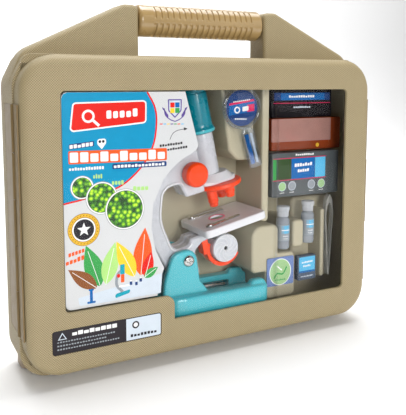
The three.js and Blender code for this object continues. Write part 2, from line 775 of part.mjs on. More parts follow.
// ---------------------------------------------------------------- microscope: tube, rack and nose
const noseShape = (radius) =>
  roundedShape([
    [TUBE.x - radius, -radius, radius - 0.5],
    [NOSE.tip, -radius, radius * 0.8],
    [NOSE.tip, radius, radius * 0.8],
    [TUBE.x - radius, radius, radius - 0.5],
  ]);
const noseBody = join(
  plateZ(noseShape(13.6), NOSE.bottom, NOSE.bottom + 4.5, { edge: 1, edgeSteps: 2, steps: 4 }),
  turned([[0, NOSE.bottom + 3], [18.5, NOSE.bottom + 3], [12.5, NOSE.top], [0, NOSE.top]], TUBE.x + 7, 0, 32),
);
inScope(
  "turret_mount",
  cut(
    noseBody,
    box(0, ARM.blockRight + 0.4, -40, 40, 50, 80),
    rod("z", TUBE.x, 0, 50, 80, 6, 20),
    rod("z", TURRET.x, 0, 50, NOSE.top - 3, 2.1, 16),
  ),
  MAT.scopeGrey,
);
inScope(
  "body_tube",
  turned(
    [
      [TUBE.bore, TUBE.bottom],
      [TUBE.radius, TUBE.bottom],
      [TUBE.radius, TUBE.top],
      [TUBE.spigot, TUBE.top],
      [TUBE.spigot, TUBE.top + 12],
      [TUBE.bore, TUBE.top + 12],
      [TUBE.bore, TUBE.bottom],
    ],
    TUBE.x,
    0,
    32,
  ),
  MAT.scopeGrey,
);

// Rack teeth point back at the pinion. Both have thin teeth, so they run with play.
const PITCH = Math.PI * PINION.module;
const pitchLine = KNOB.x + (PINION.teeth * PINION.module) / 2;
function rackBar() {
  const bar = box(pitchLine + 1.3, TUBE.x - TUBE.radius - GAP, -PINION.half, PINION.half, 66, 108);
  let solid = bar;
  for (let i = -4; i <= 6; i++) {
    const z = KNOB.z + (i + 0.5) * PITCH;
    const tooth = roundedShape([
      [pitchLine + 1.5, z - 0.85],
      [pitchLine + 1.5, z + 0.85],
      [pitchLine - 0.8, z + 0.3],
      [pitchLine - 0.8, z - 0.3],
    ]);
    solid = join(solid, plateY(tooth, -PINION.half, PINION.half));
  }
  return solid;
}
inScope("focus_rack", rackBar(), MAT.orange);

function focusShaft() {
  const root = (PINION.teeth * PINION.module) / 2 - 1.3;
  let solid = join(
    rod("y", KNOB.x, KNOB.z, -KNOB.outer + 4, KNOB.outer - 4, 3, 20),
    rod("y", KNOB.x, KNOB.z, -PINION.half + 0.3, PINION.half - 0.3, root, 32),
  );
  for (let i = 0; i < PINION.teeth; i++) {
    const tooth = roundedShape([
      [root - 0.3, -0.85],
      [root + 2.1, -0.3],
      [root + 2.1, 0.3],
      [root - 0.3, 0.85],
    ]);
    const geometry = extrude(tooth, 2 * PINION.half - 0.6)
      .rotateX(Math.PI / 2)
      .translate(0, PINION.half - 0.3, 0)
      .rotateY((i * 2 * Math.PI) / PINION.teeth)
      .translate(KNOB.x, 0, KNOB.z);
    solid = join(solid, toSolid(geometry));
  }
  return solid;
}
inScope("focus_shaft", focusShaft(), MAT.steel);

function focusKnob(side) {
  const profile = [
    [3.1, KNOB.inner],
    [KNOB.radius - 0.8, KNOB.inner],
    [KNOB.radius, KNOB.inner + 0.8],
    [KNOB.radius, KNOB.outer - 2.5],
    [KNOB.radius - 0.8, KNOB.outer - 0.7],
    [KNOB.radius - 2.6, KNOB.outer],
    [0, KNOB.outer],
    [0, KNOB.outer - 3.6],
    [3.1, KNOB.outer - 3.6],
    [3.1, KNOB.inner],
  ];
  const points = profile.map(([radius, along]) => new THREE.Vector2(radius, along));
  const geometry = new THREE.LatheGeometry(points, 32).rotateX(side < 0 ? Math.PI : 0);
  return toSolid(geometry.translate(KNOB.x, 0, KNOB.z));
}
inScope("focus_knob_front", focusKnob(-1), MAT.orange);
inScope("focus_knob_back", focusKnob(1), MAT.orange);

// ---------------------------------------------------------------- microscope: eyepiece
inScope(
  "eyepiece_sleeve",
  turned(
    [
      [SLEEVE.bore, SLEEVE.bottom],
      [SLEEVE.collar - 0.8, SLEEVE.bottom],
      [SLEEVE.collar, SLEEVE.bottom + 0.8],
      [SLEEVE.collar, SLEEVE.bottom + 3.4],
      [SLEEVE.radius + 0.4, SLEEVE.bottom + 6],
      [SLEEVE.radius, SLEEVE.bottom + 8],
      [SLEEVE.radius, SLEEVE.top - 3],
      [SLEEVE.radius - 1, SLEEVE.top - 0.6],
      [SLEEVE.radius - 2, SLEEVE.top],
      [SLEEVE.bore, SLEEVE.top],
      [SLEEVE.bore, SLEEVE.bottom],
    ],
    TUBE.x,
    0,
    32,
  ),
  MAT.teal,
);
inScope(
  "eyepiece_cap",
  turned(
    [
      [6.4, SLEEVE.top - 8],
      [SLEEVE.bore - GAP, SLEEVE.top - 8],
      [SLEEVE.bore - GAP, SLEEVE.top + 0.3],
      [SLEEVE.bore + 0.9, SLEEVE.top + 0.3],
      [SLEEVE.bore + 0.9, SLEEVE.top + 2.4],
      [SLEEVE.bore - 0.5, SLEEVE.top + 3.6],
      [6.4, SLEEVE.top + 1.6],
      [6.4, SLEEVE.top - 8],
    ],
    TUBE.x,
    0,
    28,
  ),
  MAT.teal,
);
inScope("eye_lens", rod("z", TUBE.x, 0, SLEEVE.top - 5, SLEEVE.top - 2, 6.2, 24), MAT.clear);

// ---------------------------------------------------------------- microscope: turret and objectives
const around = (angle) => [
  TURRET.x + TURRET.circle * Math.cos(THREE.MathUtils.degToRad(angle)),
  TURRET.circle * Math.sin(THREE.MathUtils.degToRad(angle)),
];
const OBJECTIVES = [
  { name: "objective_high", angle: 180, tip: 37 },
  { name: "objective_medium", angle: 60, tip: 41 },
  { name: "objective_low", angle: -60, tip: 44.5 },
];
inScope(
  "turret_disc",
  cut(
    turned(
      [
        [0, TURRET.bottom],
        [TURRET.radius - 3, TURRET.bottom],
        [TURRET.radius - 0.6, TURRET.bottom + 1.6],
        [TURRET.radius, TURRET.bottom + 3],
        [TURRET.radius - 0.4, TURRET.top - 0.6],
        [TURRET.radius - 1.6, TURRET.top],
        [0, TURRET.top],
      ],
      TURRET.x,
      0,
      36,
    ),
    rod("z", TURRET.x, 0, 50, 70, 2.3, 16),
    ...OBJECTIVES.map(({ angle }) => rod("z", ...around(angle), 50, 70, 3.6, 16)),
  ),
  MAT.orange,
);
inScope(
  "turret_screw",
  join(
    rod("z", TURRET.x, 0, TURRET.bottom - 1, NOSE.bottom + 6, 2, 16),
    rod("z", TURRET.x, 0, TURRET.bottom - 2.6, TURRET.bottom - GAP, 3.4, 16),
  ),
  MAT.steel,
);
for (const { name, angle, tip } of OBJECTIVES) {
  const top = TURRET.bottom - GAP;
  const barrel = turned(
    [
      [2.6, tip],
      [3.8, tip],
      [4.5, tip + 1.2],
      [4.5, tip + 4],
      [5.3, tip + 5],
      [5.4, top],
      [2.6, top],
      [2.6, tip],
    ],
    ...around(angle),
    24,
  );
  inScope(name, barrel, MAT.orange);
}

// ---------------------------------------------------------------- microscope: lamp and mirror drum
const drumTop = DRUM.z + DRUM.radius;
function lampDrum() {
  return cut(
    plateY(circle(DRUM.x, DRUM.z, DRUM.radius), -DRUM.half, DRUM.half, { edge: 1, steps: 14 }),
    box(DRUM.x - 9, DRUM.x + 9, -9, 9, drumTop - 5, drumTop + 1),
    rod("z", DRUM.x, 0, DRUM.z - DRUM.radius - 1, DRUM.z - 5, 5, 20),
    rod("y", DRUM.x, DRUM.z, -20, 20, 1.9, 16),
  );
}
inScope("lamp_drum", lampDrum(), MAT.scopeGrey);
inScope("drum_mirror", box(DRUM.x - 8.6, DRUM.x + 8.6, -8.6, 8.6, drumTop - 4.8, drumTop - 3.6), MAT.mirror);
inScope("lamp_bulb", rod("z", DRUM.x, 0, DRUM.z - DRUM.radius + 0.5, DRUM.z - 5.4, 4.7, 20), MAT.clear);

function lampCradle() {
  const hoop = new THREE.Shape();
  const from = THREE.MathUtils.degToRad(150);
  const to = THREE.MathUtils.degToRad(325);
  const outer = DRUM.radius + 5;
  const inner = DRUM.radius + 0.8;
  hoop.absarc(DRUM.x, DRUM.z, outer, from, to, false);
  hoop.absarc(DRUM.x, DRUM.z, inner, to, from, true);
  hoop.closePath();
  const spoke = box(DRUM.x - outer + 1, DRUM.x, DRUM.half + 0.6, DRUM.half + 2.6, DRUM.z - 3, DRUM.z + 3);
  const rim = box(DRUM.x - outer + 1, DRUM.x - inner - 0.6, 0, DRUM.half + 2.6, DRUM.z - 3, DRUM.z + 3);
  const post = box(DRUM.x - outer - 3, DRUM.x - inner - 0.4, -6, 6, DRUM.z - 1, 8.6);
  return cut(
    join(
      plateY(hoop, -6, 6, { steps: 12 }),
      post,
      spoke,
      rim,
      rod("y", DRUM.x, DRUM.z, DRUM.half + 0.6, DRUM.half + 2.6, 4, 20),
    ),
    rod("y", DRUM.x, DRUM.z, -20, 20, 1.75, 16),
  );
}
inScope("lamp_cradle", lampCradle(), MAT.orange);
inScope("drum_pin", rod("y", DRUM.x, DRUM.z, -DRUM.half + 0.4, DRUM.half + 3, 1.6, 16), MAT.steel);

// ---------------------------------------------------------------- accessories in the tray
const LENS = { x: 36, z: 236, radius: 21, front: -19.5, back: -14.5, gripHalf: 7, gripEnd: 62 };
const handleLean = THREE.MathUtils.degToRad(16);
function magnifierFrame() {
  const outline = roundedRect(-LENS.gripHalf, -LENS.gripEnd, LENS.gripHalf, 4 - LENS.radius, 3);
  const grip = plateY(outline, 0, LENS.back - LENS.front, { edge: 0.8, steps: 2 });
  const placed = toSolid(
    toGeometry(grip)
      .rotateY(-handleLean)
      .translate(LENS.x, LENS.front, LENS.z),
  );
  return cut(
    join(rod("y", LENS.x, LENS.z, LENS.front, LENS.back, LENS.radius, 36), placed),
    rod("y", LENS.x, LENS.z, LENS.front - 1, LENS.back + 1, LENS.radius - 2.4, 36),
  );
}
inCase("magnifier_frame", magnifierFrame(), MAT.clear);
inCase(
  "magnifier_lens",
  rod("y", LENS.x, LENS.z, LENS.front + 0.8, LENS.back - 0.8, LENS.radius - 2.7, 32),
  MAT.clear,
);

const roundBox = (x0, x1, y0, y1, z0, z1, radius = 2) =>
  plateY(roundedRect(x0, z0, x1, z1, radius), y0, y1, { edge: 0.6, edgeSteps: 1, steps: 2 });
inCase("slide_box", roundBox(73, 150, -15, 0, 225, 262), MAT.darkBox);
inCase("specimen_box", roundBox(76, 166, -11, 6, 190, 224), MAT.amber);
inCase("slide_pack", roundBox(71, 157, -20, -9, 143, 189), MAT.packGrey);
inCase("label_box", roundBox(106, 130, -19, -12, 50, 77), MAT.paperBlue);
inCase("sticker_card", roundBox(65.5, 99, -20.9, -19.7, 50, 80, 1), MAT.paperViolet);

for (const [index, x, z] of [
  [1, 90, 87],
  [2, 122, 90],
]) {
  inCase(
    `vial_${index}`,
    turned(
      [
        [0, z],
        [6.2, z],
        [7, z + 1],
        [7, z + 31],
        [5, z + 34],
        [0, z + 34],
      ],
      x,
      -13,
      24,
    ),
    MAT.liquid,
  );
  inCase(
    `vial_cap_${index}`,
    turned(
      [
        [0, z + 34.3],
        [5.6, z + 34.3],
        [5.8, z + 40],
        [6.6, z + 41],
        [6.6, z + 45],
        [0, z + 46],
      ],
      x,
      -13,
      24,
    ),
    MAT.clear,
  );
}

function tweezers() {
  const x = 151;
  const shape = new THREE.Shape();
  shape.moveTo(x - 1, 50);
  shape.lineTo(x + 1, 50);
  shape.lineTo(x + 5.5, 118);
  shape.quadraticCurveTo(x + 5, 138, x, 140);
  shape.quadraticCurveTo(x - 5, 138, x - 5.5, 118);
  shape.closePath();
  const slot = new THREE.Shape();
  slot.moveTo(x - 0.15, 54);
  slot.lineTo(x + 0.15, 54);
  slot.lineTo(x + 4.2, 116);
  slot.quadraticCurveTo(x + 3, 130, x, 131);
  slot.quadraticCurveTo(x - 3, 130, x - 4.2, 116);
  slot.closePath();
  return cut(plateY(shape, -14, -8, { steps: 2 }), plateY(slot, -20, 0, { steps: 2 }));
}
inCase("tweezers", tweezers(), MAT.steel);

export default microscopeCase;
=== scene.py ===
import json
import random
from math import atan2, copysign, cos, degrees, pi, radians, sin, sqrt, tan

import bmesh
import bpy
from mathutils import Matrix, Vector


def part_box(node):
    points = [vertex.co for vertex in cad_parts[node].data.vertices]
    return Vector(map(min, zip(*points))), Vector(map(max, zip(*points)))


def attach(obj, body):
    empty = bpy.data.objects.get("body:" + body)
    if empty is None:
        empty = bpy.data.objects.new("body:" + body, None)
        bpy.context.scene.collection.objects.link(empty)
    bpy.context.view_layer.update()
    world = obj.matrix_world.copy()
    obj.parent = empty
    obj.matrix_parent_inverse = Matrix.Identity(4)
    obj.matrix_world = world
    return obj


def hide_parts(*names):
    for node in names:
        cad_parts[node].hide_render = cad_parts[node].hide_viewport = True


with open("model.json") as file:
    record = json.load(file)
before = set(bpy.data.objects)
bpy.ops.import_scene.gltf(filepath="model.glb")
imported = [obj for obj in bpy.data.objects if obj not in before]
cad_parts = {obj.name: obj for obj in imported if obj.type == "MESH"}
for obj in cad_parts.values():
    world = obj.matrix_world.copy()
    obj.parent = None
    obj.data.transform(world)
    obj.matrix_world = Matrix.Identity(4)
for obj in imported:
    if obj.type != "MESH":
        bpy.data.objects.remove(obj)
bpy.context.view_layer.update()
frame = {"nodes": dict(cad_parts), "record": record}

MM = 0.001  # pieces are written in millimetres and built in metres

# ---------------------------------------------------------------- sizes, in millimetres
CASE = {
    "half": 184.5, "bottom": 4.5, "top": 285, "corner": 26, "front": -16.6, "back": 39, "wall": 2.6,
    "edge": 8,
}
SHOULDER = {"x": 173, "z": 262, "round": 24, "top_round": 10}
SILL = {"bottom": 11.6, "corner": 30.4, "depth": 2.6}
LID = {"half": 183, "bottom": 10, "top": 284, "corner": 32, "front": -39, "back": -17, "wall": 3, "edge": 9}
WINDOW = {
    "half": 150, "bottom": 43, "top": 254, "step_x": -48, "step_z": 66, "corner": 4, "step_corner": 9,
    "lip": 1.0,
}
LABEL = {"left": -162, "right": -62, "bottom": 31, "top": 52, "depth": 0.8, "split": -96}
HORN = {
    "inner": 68, "top_outer": 82, "top": 331, "heel": 174, "heel_top": 287.6, "front": -8, "back": 22,
    "wall": 3, "edge": 4,
}
HANDLE = {
    "y": 7, "z": 318, "radius": 15, "half": 66.5, "rod": 6, "grooves": 18, "pitch": 6.08, "offset": 0.5,
}
# each row of grooves: from and to what angle from the top, in degrees, half its width and its depth
GRIP_ROWS = ((22, 84, 0.85, 1.2), (100, 165, 1.7, 1.6))
HINGE = {"x": 184.6, "y": -16.8, "barrel": 1.5, "bottom": 45, "top": 243}
STRAP = {"inner": 183.3, "outer": 184.4, "back_edge": 18}
LATCH_Y = 15
BARREL_GAP = 0.4
STRAP_GAP = 0.3
TRAY = {
    "half": 180.2, "bottom": 12.8, "top": 281.2, "corner": 28.5, "front": -15.8, "back": 36.1, "sheet": 1.4,
}
PIVOT = (-25, 0, 90.5)
LEAN = 12  # degrees that the stored microscope leans back
TUBE_X = 48.6
TURRET = {"x": 58.9, "reach": 10.4}
KNOB = {"x": 25.5, "z": 79.5, "radius": 12, "middle": 19.5}
DRUM = {"x": 47, "z": -5.5, "half": 11}
LENS = {"x": 36, "z": 236, "radius": 21, "front": -19.5, "back": -14.5, "lean": 16}
VIALS = ((1, 90, 87), (2, 122, 90))
VIAL_Y = -13
FLANGE_Y = -16.6
# each dome of the clear cover: its left, bottom, right, top, rise, rounding and right-hand slope
DOMES = ((-125, 24, 92, 276, 16.3, 3.5, 32), (40, 24, 170, 276, 7.4, 3.0, 3))
CARD_FACE = -35.1
PRINT_STEP = 0.03  # how far each printed layer stands in front of the one under it

SCOPE = Matrix.Translation(PIVOT) @ Matrix.Rotation(radians(-LEAN), 4, "Y")

# ---------------------------------------------------------------- camera
camera = bpy.data.objects.new("camera", bpy.data.cameras.new("camera"))
bpy.context.scene.collection.objects.link(camera)
camera.location = (-0.2869, -0.5459, 0.2607)
camera.rotation_euler = (radians(83.87), 0, radians(-27.87))
camera.data.lens = 54.33
camera.data.sensor_width = 36
camera.data.shift_y = -0.1386
camera.data.clip_start = 0.01
bpy.context.scene.camera = camera


# ---------------------------------------------------------------- outlines
def rounded(points, steps=8):
    """An anticlockwise outline whose corners (across, up, radius) are rounded by arcs.

    An arc takes at most half of either edge beside its corner.
    """
    outline = []
    count = len(points)
    for i, (x, z, wanted) in enumerate(points):
        here = Vector((x, z))
        if not wanted:
            outline.append(here)
            continue
        before = Vector(points[i - 1][:2]) - here
        after = Vector(points[(i + 1) % count][:2]) - here
        room = 0.48 * min(before.length, after.length)
        before.normalize()
        after.normalize()
        half = before.angle(after) / 2
        reach = min(wanted / tan(half), room)
        centre = here + (before + after).normalized() * (reach / cos(half))
        first = here + before * reach - centre
        last = here + after * reach - centre
        start = atan2(first.y, first.x)
        turn = (atan2(last.y, last.x) - start + pi) % (2 * pi) - pi
        for k in range(steps + 1):
            angle = start + turn * k / steps
            outline.append(centre + first.length * Vector((cos(angle), sin(angle))))
    return anticlockwise(outline)


def anticlockwise(outline):
    area = sum(a.cross(b) for a, b in zip(outline, outline[1:] + outline[:1]))
    return outline if area > 0 else outline[::-1]


def rect(x0, z0, x1, z1, radius, steps=8):
    return rounded([(x0, z0, radius), (x1, z0, radius), (x1, z1, radius), (x0, z1, radius)], steps)


def disc(x, z, radius, steps=48, radius_z=None):
    tall = radius_z or radius
    angles = [2 * pi * k / steps for k in range(steps)]
    return [Vector((x + radius * cos(a), z + tall * sin(a))) for a in angles]


def inset(outline, distance):
    """The outline moved inwards by distance."""
    moved = []
    count = len(outline)
    for i, point in enumerate(outline):
        a = (point - outline[i - 1]).normalized()
        b = (outline[(i + 1) % count] - point).normalized()
        inwards = Vector((-a.y - b.y, a.x + b.x)).normalized()
        moved.append(point + inwards * distance / max(0.35, inwards.dot(Vector((-a.y, a.x)))))
    return moved


def curve_through(points, steps=8):
    """A smooth line through the points."""
    points = [Vector(p) for p in points]
    ends = [2 * points[0] - points[1], *points, 2 * points[-1] - points[-2]]
    line = []
    for p0, p1, p2, p3 in zip(ends, ends[1:], ends[2:], ends[3:]):
        for k in range(steps):
            t = k / steps
            bend = (2 * p0 - 5 * p1 + 4 * p2 - p3) * t**2
            twist = (3 * p1 - p0 - 3 * p2 + p3) * t**3
            line.append(0.5 * (2 * p1 + (p2 - p0) * t + bend + twist))
    return [*line, points[-1]]


def stroke(line, width):
    """The outline of a line drawn with that width."""
    left, right = [], []
    for i, point in enumerate(line):
        along = (line[min(i + 1, len(line) - 1)] - line[max(i - 1, 0)]).normalized()
        across = Vector((-along.y, along.x)) * width / 2
        left.append(point + across)
        right.append(point - across)
    return anticlockwise(left + right[::-1])


def slanted(x0, z0, x1, z1, height, radius=0.6):
    """A bar from (x0, z0) to (x1, z1), with that height above its lower edge."""
    return rounded(
        [(x0, z0, radius), (x1, z1, radius), (x1, z1 + height, radius), (x0, z0 + height, radius)], 4,
    )


def star(x, z, radius, points=5):
    tips = []
    for k in range(2 * points):
        reach = radius if k % 2 == 0 else radius * 0.42
        angle = pi / 2 + pi * k / points
        tips.append(Vector((x + reach * cos(angle), z + reach * sin(angle))))
    return tips


def leaf(x, z, length, width, angle):
    """A pointed leaf that grows from (x, z) at an angle in degrees."""
    along = Vector((cos(radians(angle)), sin(radians(angle))))
    across = Vector((-along.y, along.x))
    base = Vector((x, z))
    sides = []
    for side in (1, -1):
        edge = []
        for t in [k / 12 for k in range(13)]:
            spread = width / 2 * sin(pi * t**0.8)
            edge.append(base + along * length * t + across * side * spread)
        sides.append(edge)
    return anticlockwise(sides[0] + sides[1][-2:0:-1])


# ---------------------------------------------------------------- solids: lists of vertices and faces
def quarter(edge, steps=5):
    """A rounded rim as (inset, depth) pairs, from its face round to its side."""
    if not edge:
        return [(0, 0)]
    angles = [pi / 2 * k / steps for k in range(steps + 1)]
    return [(edge * (1 - sin(a)), edge * (1 - cos(a))) for a in angles]


def loft(rings, capped=True):
    """A closed solid through rings that all have as many points."""
    count = len(rings[0])
    vertices = [p for ring in rings for p in ring]
    faces = []
    for r in range(len(rings) - 1 if capped else len(rings)):
        a, b = r * count, (r + 1) % len(rings) * count
        faces += [(a + i, a + (i + 1) % count, b + (i + 1) % count, b + i) for i in range(count)]
    if capped:
        faces.append(tuple(range(count)))
        faces.append(tuple(range(len(vertices) - count, len(vertices))))
    return vertices, faces


def plate(outline, front, back, edge=0.5, back_edge=None, steps=4):
    """The outline, across and up, extruded along Y, with rounded rims."""
    back_edge = edge if back_edge is None else back_edge
    levels = [(i, front + d) for i, d in quarter(edge, steps)]
    levels += [(i, back - d) for i, d in reversed(quarter(back_edge, steps))]
    return loft([[Vector((p.x, y, p.y)) for p in (inset(outline, i) if i else outline)] for i, y in levels])


def slab(outline, bottom, top, edge=0.5, steps=4):
    """The outline, in X and Y, extruded up Z, with rounded rims."""
    vertices, faces = plate(outline, -top, -bottom, edge, steps=steps)
    return [Vector((v.x, v.z, -v.y)) for v in vertices], faces


def turned(profile, segments=64, steps=4, ripple=None):
    """A turned solid round Z, from a profile whose corners are (radius, height, rounding).

    One that starts and ends on the axis is closed there. ripple(angle, corner) is how far the surface
    stands out at a profile point.
    """
    line = rounded(profile, steps)
    on_axis = [i for i, p in enumerate(line) if p.x < 1e-6]
    if on_axis:
        last = next(i for i in on_axis if (i + 1) % len(line) not in on_axis)
        line = line[last:] + line[:last]
        line = line[: len(line) - len(on_axis) + 2]
    vertices, rows = [], []
    for p in line:
        if p.x < 1e-6:
            rows.append([len(vertices)] * segments)
            vertices.append(Vector((0, 0, p.y)))
            continue
        rows.append([len(vertices) + k for k in range(segments)])
        for k in range(segments):
            angle = 2 * pi * k / segments
            radius = p.x + (ripple(angle, p) if ripple else 0)
            vertices.append(Vector((radius * cos(angle), radius * sin(angle), p.y)))
    faces = []
    pairs = list(zip(rows, rows[1:])) if on_axis else list(zip(rows, rows[1:] + rows[:1]))
    for low, high in pairs:
        for k in range(segments):
            n = (k + 1) % segments
            face = [low[k], low[n], high[n], high[k]]
            faces.append(tuple(dict.fromkeys(face)))
    return vertices, faces


def tube(line, radius, segments=10, closed=False):
    """A round bar that follows a line of points."""
    rings = []
    count = len(line)
    for i, point in enumerate(line):
        before = line[i - 1] if closed or i else point
        after = line[(i + 1) % count] if closed or i < count - 1 else point
        along = (after - before).normalized()
        side = along.orthogonal() if not rings else side - along * side.dot(along)
        side.normalize()
        up = along.cross(side)
        angles = [2 * pi * k / segments for k in range(segments)]
        rings.append([point + radius * (side * cos(a) + up * sin(a)) for a in angles])
    return loft(rings, capped=not closed)


def moved(solid, matrix):
    vertices, faces = solid
    return [matrix @ v for v in vertices], faces


FACING_FRONT = Matrix.Rotation(radians(90), 4, "X")  # turns +Z to -Y


def turned_front(profile, x, z, **options):
    """A turned solid round Y. Heights in the profile are distances towards the front."""
    return moved(turned(profile, **options), Matrix.Translation((x, 0, z)) @ FACING_FRONT)


# ---------------------------------------------------------------- pieces
body_of_node = {n: body for body, nodes in frame["record"]["behaviour"]["bodies"].items() for n in nodes}


def applied(piece):
    """Replaces the mesh with what its modifiers make of it."""
    depsgraph = bpy.context.evaluated_depsgraph_get()
    piece.data = bpy.data.meshes.new_from_object(piece.evaluated_get(depsgraph), depsgraph=depsgraph)
    piece.modifiers.clear()
    return piece


def smooth(piece, sharp=35):
    piece.data.shade_smooth()
    piece.data.set_sharp_from_angle(angle=radians(sharp))
    return piece


def linked(name, mesh):
    made = bpy.data.objects.new(name, mesh)
    bpy.context.scene.collection.objects.link(made)
    return made


def shape(name, *parts):
    """An object of several closed solids, each given as (solid, look)."""
    looks = []
    bm = bmesh.new()
    for (vertices, faces), look in parts:
        if look not in looks:
            looks.append(look)
        made = [bm.verts.new(v * MM) for v in vertices]
        for face in faces:
            bm.faces.new([made[i] for i in face]).material_index = looks.index(look)
    bmesh.ops.recalc_face_normals(bm, faces=bm.faces)
    mesh = bpy.data.meshes.new(name)
    bm.to_mesh(mesh)
    bm.free()
    for look in looks:
        mesh.materials.append(look)
    return linked(name, mesh)


def carve(piece, *tools, how="DIFFERENCE"):
    """Cuts solids from a piece, or adds them to it."""
    for k, solid in enumerate(tools):
        tool = shape(f"tool_{k}", (solid, piece.data.materials[0]))
        modifier = piece.modifiers.new("carve", "BOOLEAN")
        modifier.object = tool
        modifier.operation = how
        modifier.solver = "EXACT"
        applied(piece)
        bpy.data.objects.remove(tool)
    return piece


def ride(piece, slot, body, *replaced):
    """Names what the piece rides on and the CAD nodes it stands for; slot, its finish, is not used."""
    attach(piece, body)
    if replaced:
        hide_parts(*replaced)
    return piece


def build(name, slot, body, *parts, replaced=(), sharp=35):
    piece = smooth(shape(name, *parts), sharp)
    return ride(piece, slot, body, *replaced)


def stand_in(node, slot, look, *parts, sharp=35):
    """A piece that stands for one CAD node, on the same body."""
    solids = [part if isinstance(part[1], bpy.types.Material) else (part, look) for part in parts]
    return build(node + "_piece", slot, body_of_node[node], *solids, replaced=[node], sharp=sharp)


def copied(node, look):
    """A copy of a CAD node's mesh, for a piece that is worked on further."""
    source = frame["nodes"][node].data
    bm = bmesh.new()
    bm.from_mesh(source)
    bmesh.ops.remove_doubles(bm, verts=bm.verts, dist=1e-6)
    bmesh.ops.dissolve_limit(bm, angle_limit=radians(0.5), verts=bm.verts, edges=bm.edges)
    mesh = bpy.data.meshes.new(node)
    bm.to_mesh(mesh)
    bm.free()
    mesh.materials.append(look)
    return linked(node + "_piece", mesh)


def softened(node, slot, look, voxel=0.5, rounds=6):
    """The node's shape with every edge and inner corner moulded soft."""
    piece = copied(node, look)
    remesh = piece.modifiers.new("remesh", "REMESH")
    remesh.mode = "VOXEL"
    remesh.voxel_size = voxel * MM
    relax = piece.modifiers.new("relax", "SMOOTH")
    relax.iterations = rounds
    applied(piece)
    piece.data.materials.clear()
    piece.data.materials.append(look)
    return ride(smooth(piece, 60), slot, body_of_node[node], node)


def trimmed(node, slot, look, width=0.3):
    """The node's shape with its sharp edges broken by a small round."""
    piece = copied(node, look)
    bevel = piece.modifiers.new("bevel", "BEVEL")
    bevel.width = width * MM
    bevel.segments = 2
    bevel.limit_method = "ANGLE"
    bevel.angle_limit = radians(32)
    applied(piece)
    return ride(smooth(piece), slot, body_of_node[node], node)


# ---------------------------------------------------------------- materials
def rgb(red, green, blue):
    """An 8-bit display colour as the linear colour that shaders take."""
    return tuple(
        ((c / 255 + 0.055) / 1.055) ** 2.4 if c > 10 else c / 255 / 12.92 for c in (red, green, blue)
    ) + (1,)


def add(tree, kind, *links, **settings):
    """A node with its sockets set. A setting that is a socket is linked, and any other is a value."""
    node = tree.nodes.new(kind)
    for name, value in settings.items():
        if hasattr(node, name) and not isinstance(value, bpy.types.NodeSocket):
            setattr(node, name, value)
            continue
        socket = node.inputs[name.replace("_", " ")]
        if isinstance(value, bpy.types.NodeSocket):
            tree.links.new(value, socket)
        else:
            socket.default_value = value
    for index, value in links:
        if isinstance(value, bpy.types.NodeSocket):
            tree.links.new(value, node.inputs[index])
        else:
            node.inputs[index].default_value = value
    return node


def math_node(tree, operation, a, b=0.0):
    return add(tree, "ShaderNodeMath", (0, a), (1, b), operation=operation).outputs[0]


def noise(tree, place, scale, detail=2.0):
    return add(tree, "ShaderNodeTexNoise", Vector=place, Scale=scale, Detail=detail).outputs["Fac"]


def ramp(tree, factor, *stops):
    """A colour that goes through the stops, each (position, colour)."""
    node = add(tree, "ShaderNodeValToRGB", (0, factor))
    elements = node.color_ramp.elements
    while len(elements) < len(stops):
        elements.new(0.5)
    for element, (position, colour) in zip(elements, stops):
        element.position = position
        element.color = colour
    return node.outputs["Color"]


def between(tree, factor, low, high):
    return add(tree, "ShaderNodeMapRange", (0, factor), (3, low), (4, high)).outputs[0]


def shaded(colour, amount):
    return tuple(min(1, max(0, c * amount)) for c in colour[:3]) + (1,)


def started(name):
    material = bpy.data.materials.new(name)
    material.use_nodes = True
    tree = material.node_tree
    tree.nodes.clear()
    place = add(tree, "ShaderNodeTexCoord").outputs["Object"]
    return material, tree, place


def plastic(
    name, colour, roughness=0.4, tint=0.05, patch=40, grain=900, bump=0.04, coat=0.0, metal=0.0, glow=0.0,
    wear=0.08, shine=0.5,
):
    """Plastic, paint, paper or metal: slow colour patches, uneven gloss and a fine surface grain."""
    material, tree, place = started(name)
    patches = noise(tree, place, patch, 3)
    base = ramp(tree, patches, (0.25, shaded(colour, 1 - tint)), (0.75, shaded(colour, 1 + tint)))
    rough = between(tree, noise(tree, place, patch * 3), roughness - wear, roughness + wear)
    grit = add(tree, "ShaderNodeBump", Strength=bump, Distance=0.0004, Height=noise(tree, place, grain, 4))
    shader = add(
        tree,
        "ShaderNodeBsdfPrincipled",
        Base_Color=base,
        Roughness=rough,
        Normal=grit.outputs[0],
        Metallic=metal,
        Coat_Weight=coat,
        Coat_Roughness=0.06,
        Specular_IOR_Level=shine,
    )
    if glow:
        shader.inputs["Subsurface Weight"].default_value = glow
        shader.inputs["Subsurface Radius"].default_value = (0.004, 0.004, 0.004)
        shader.inputs["Subsurface Scale"].default_value = 1.0
    add(tree, "ShaderNodeOutputMaterial", Surface=shader.outputs[0])
    return material


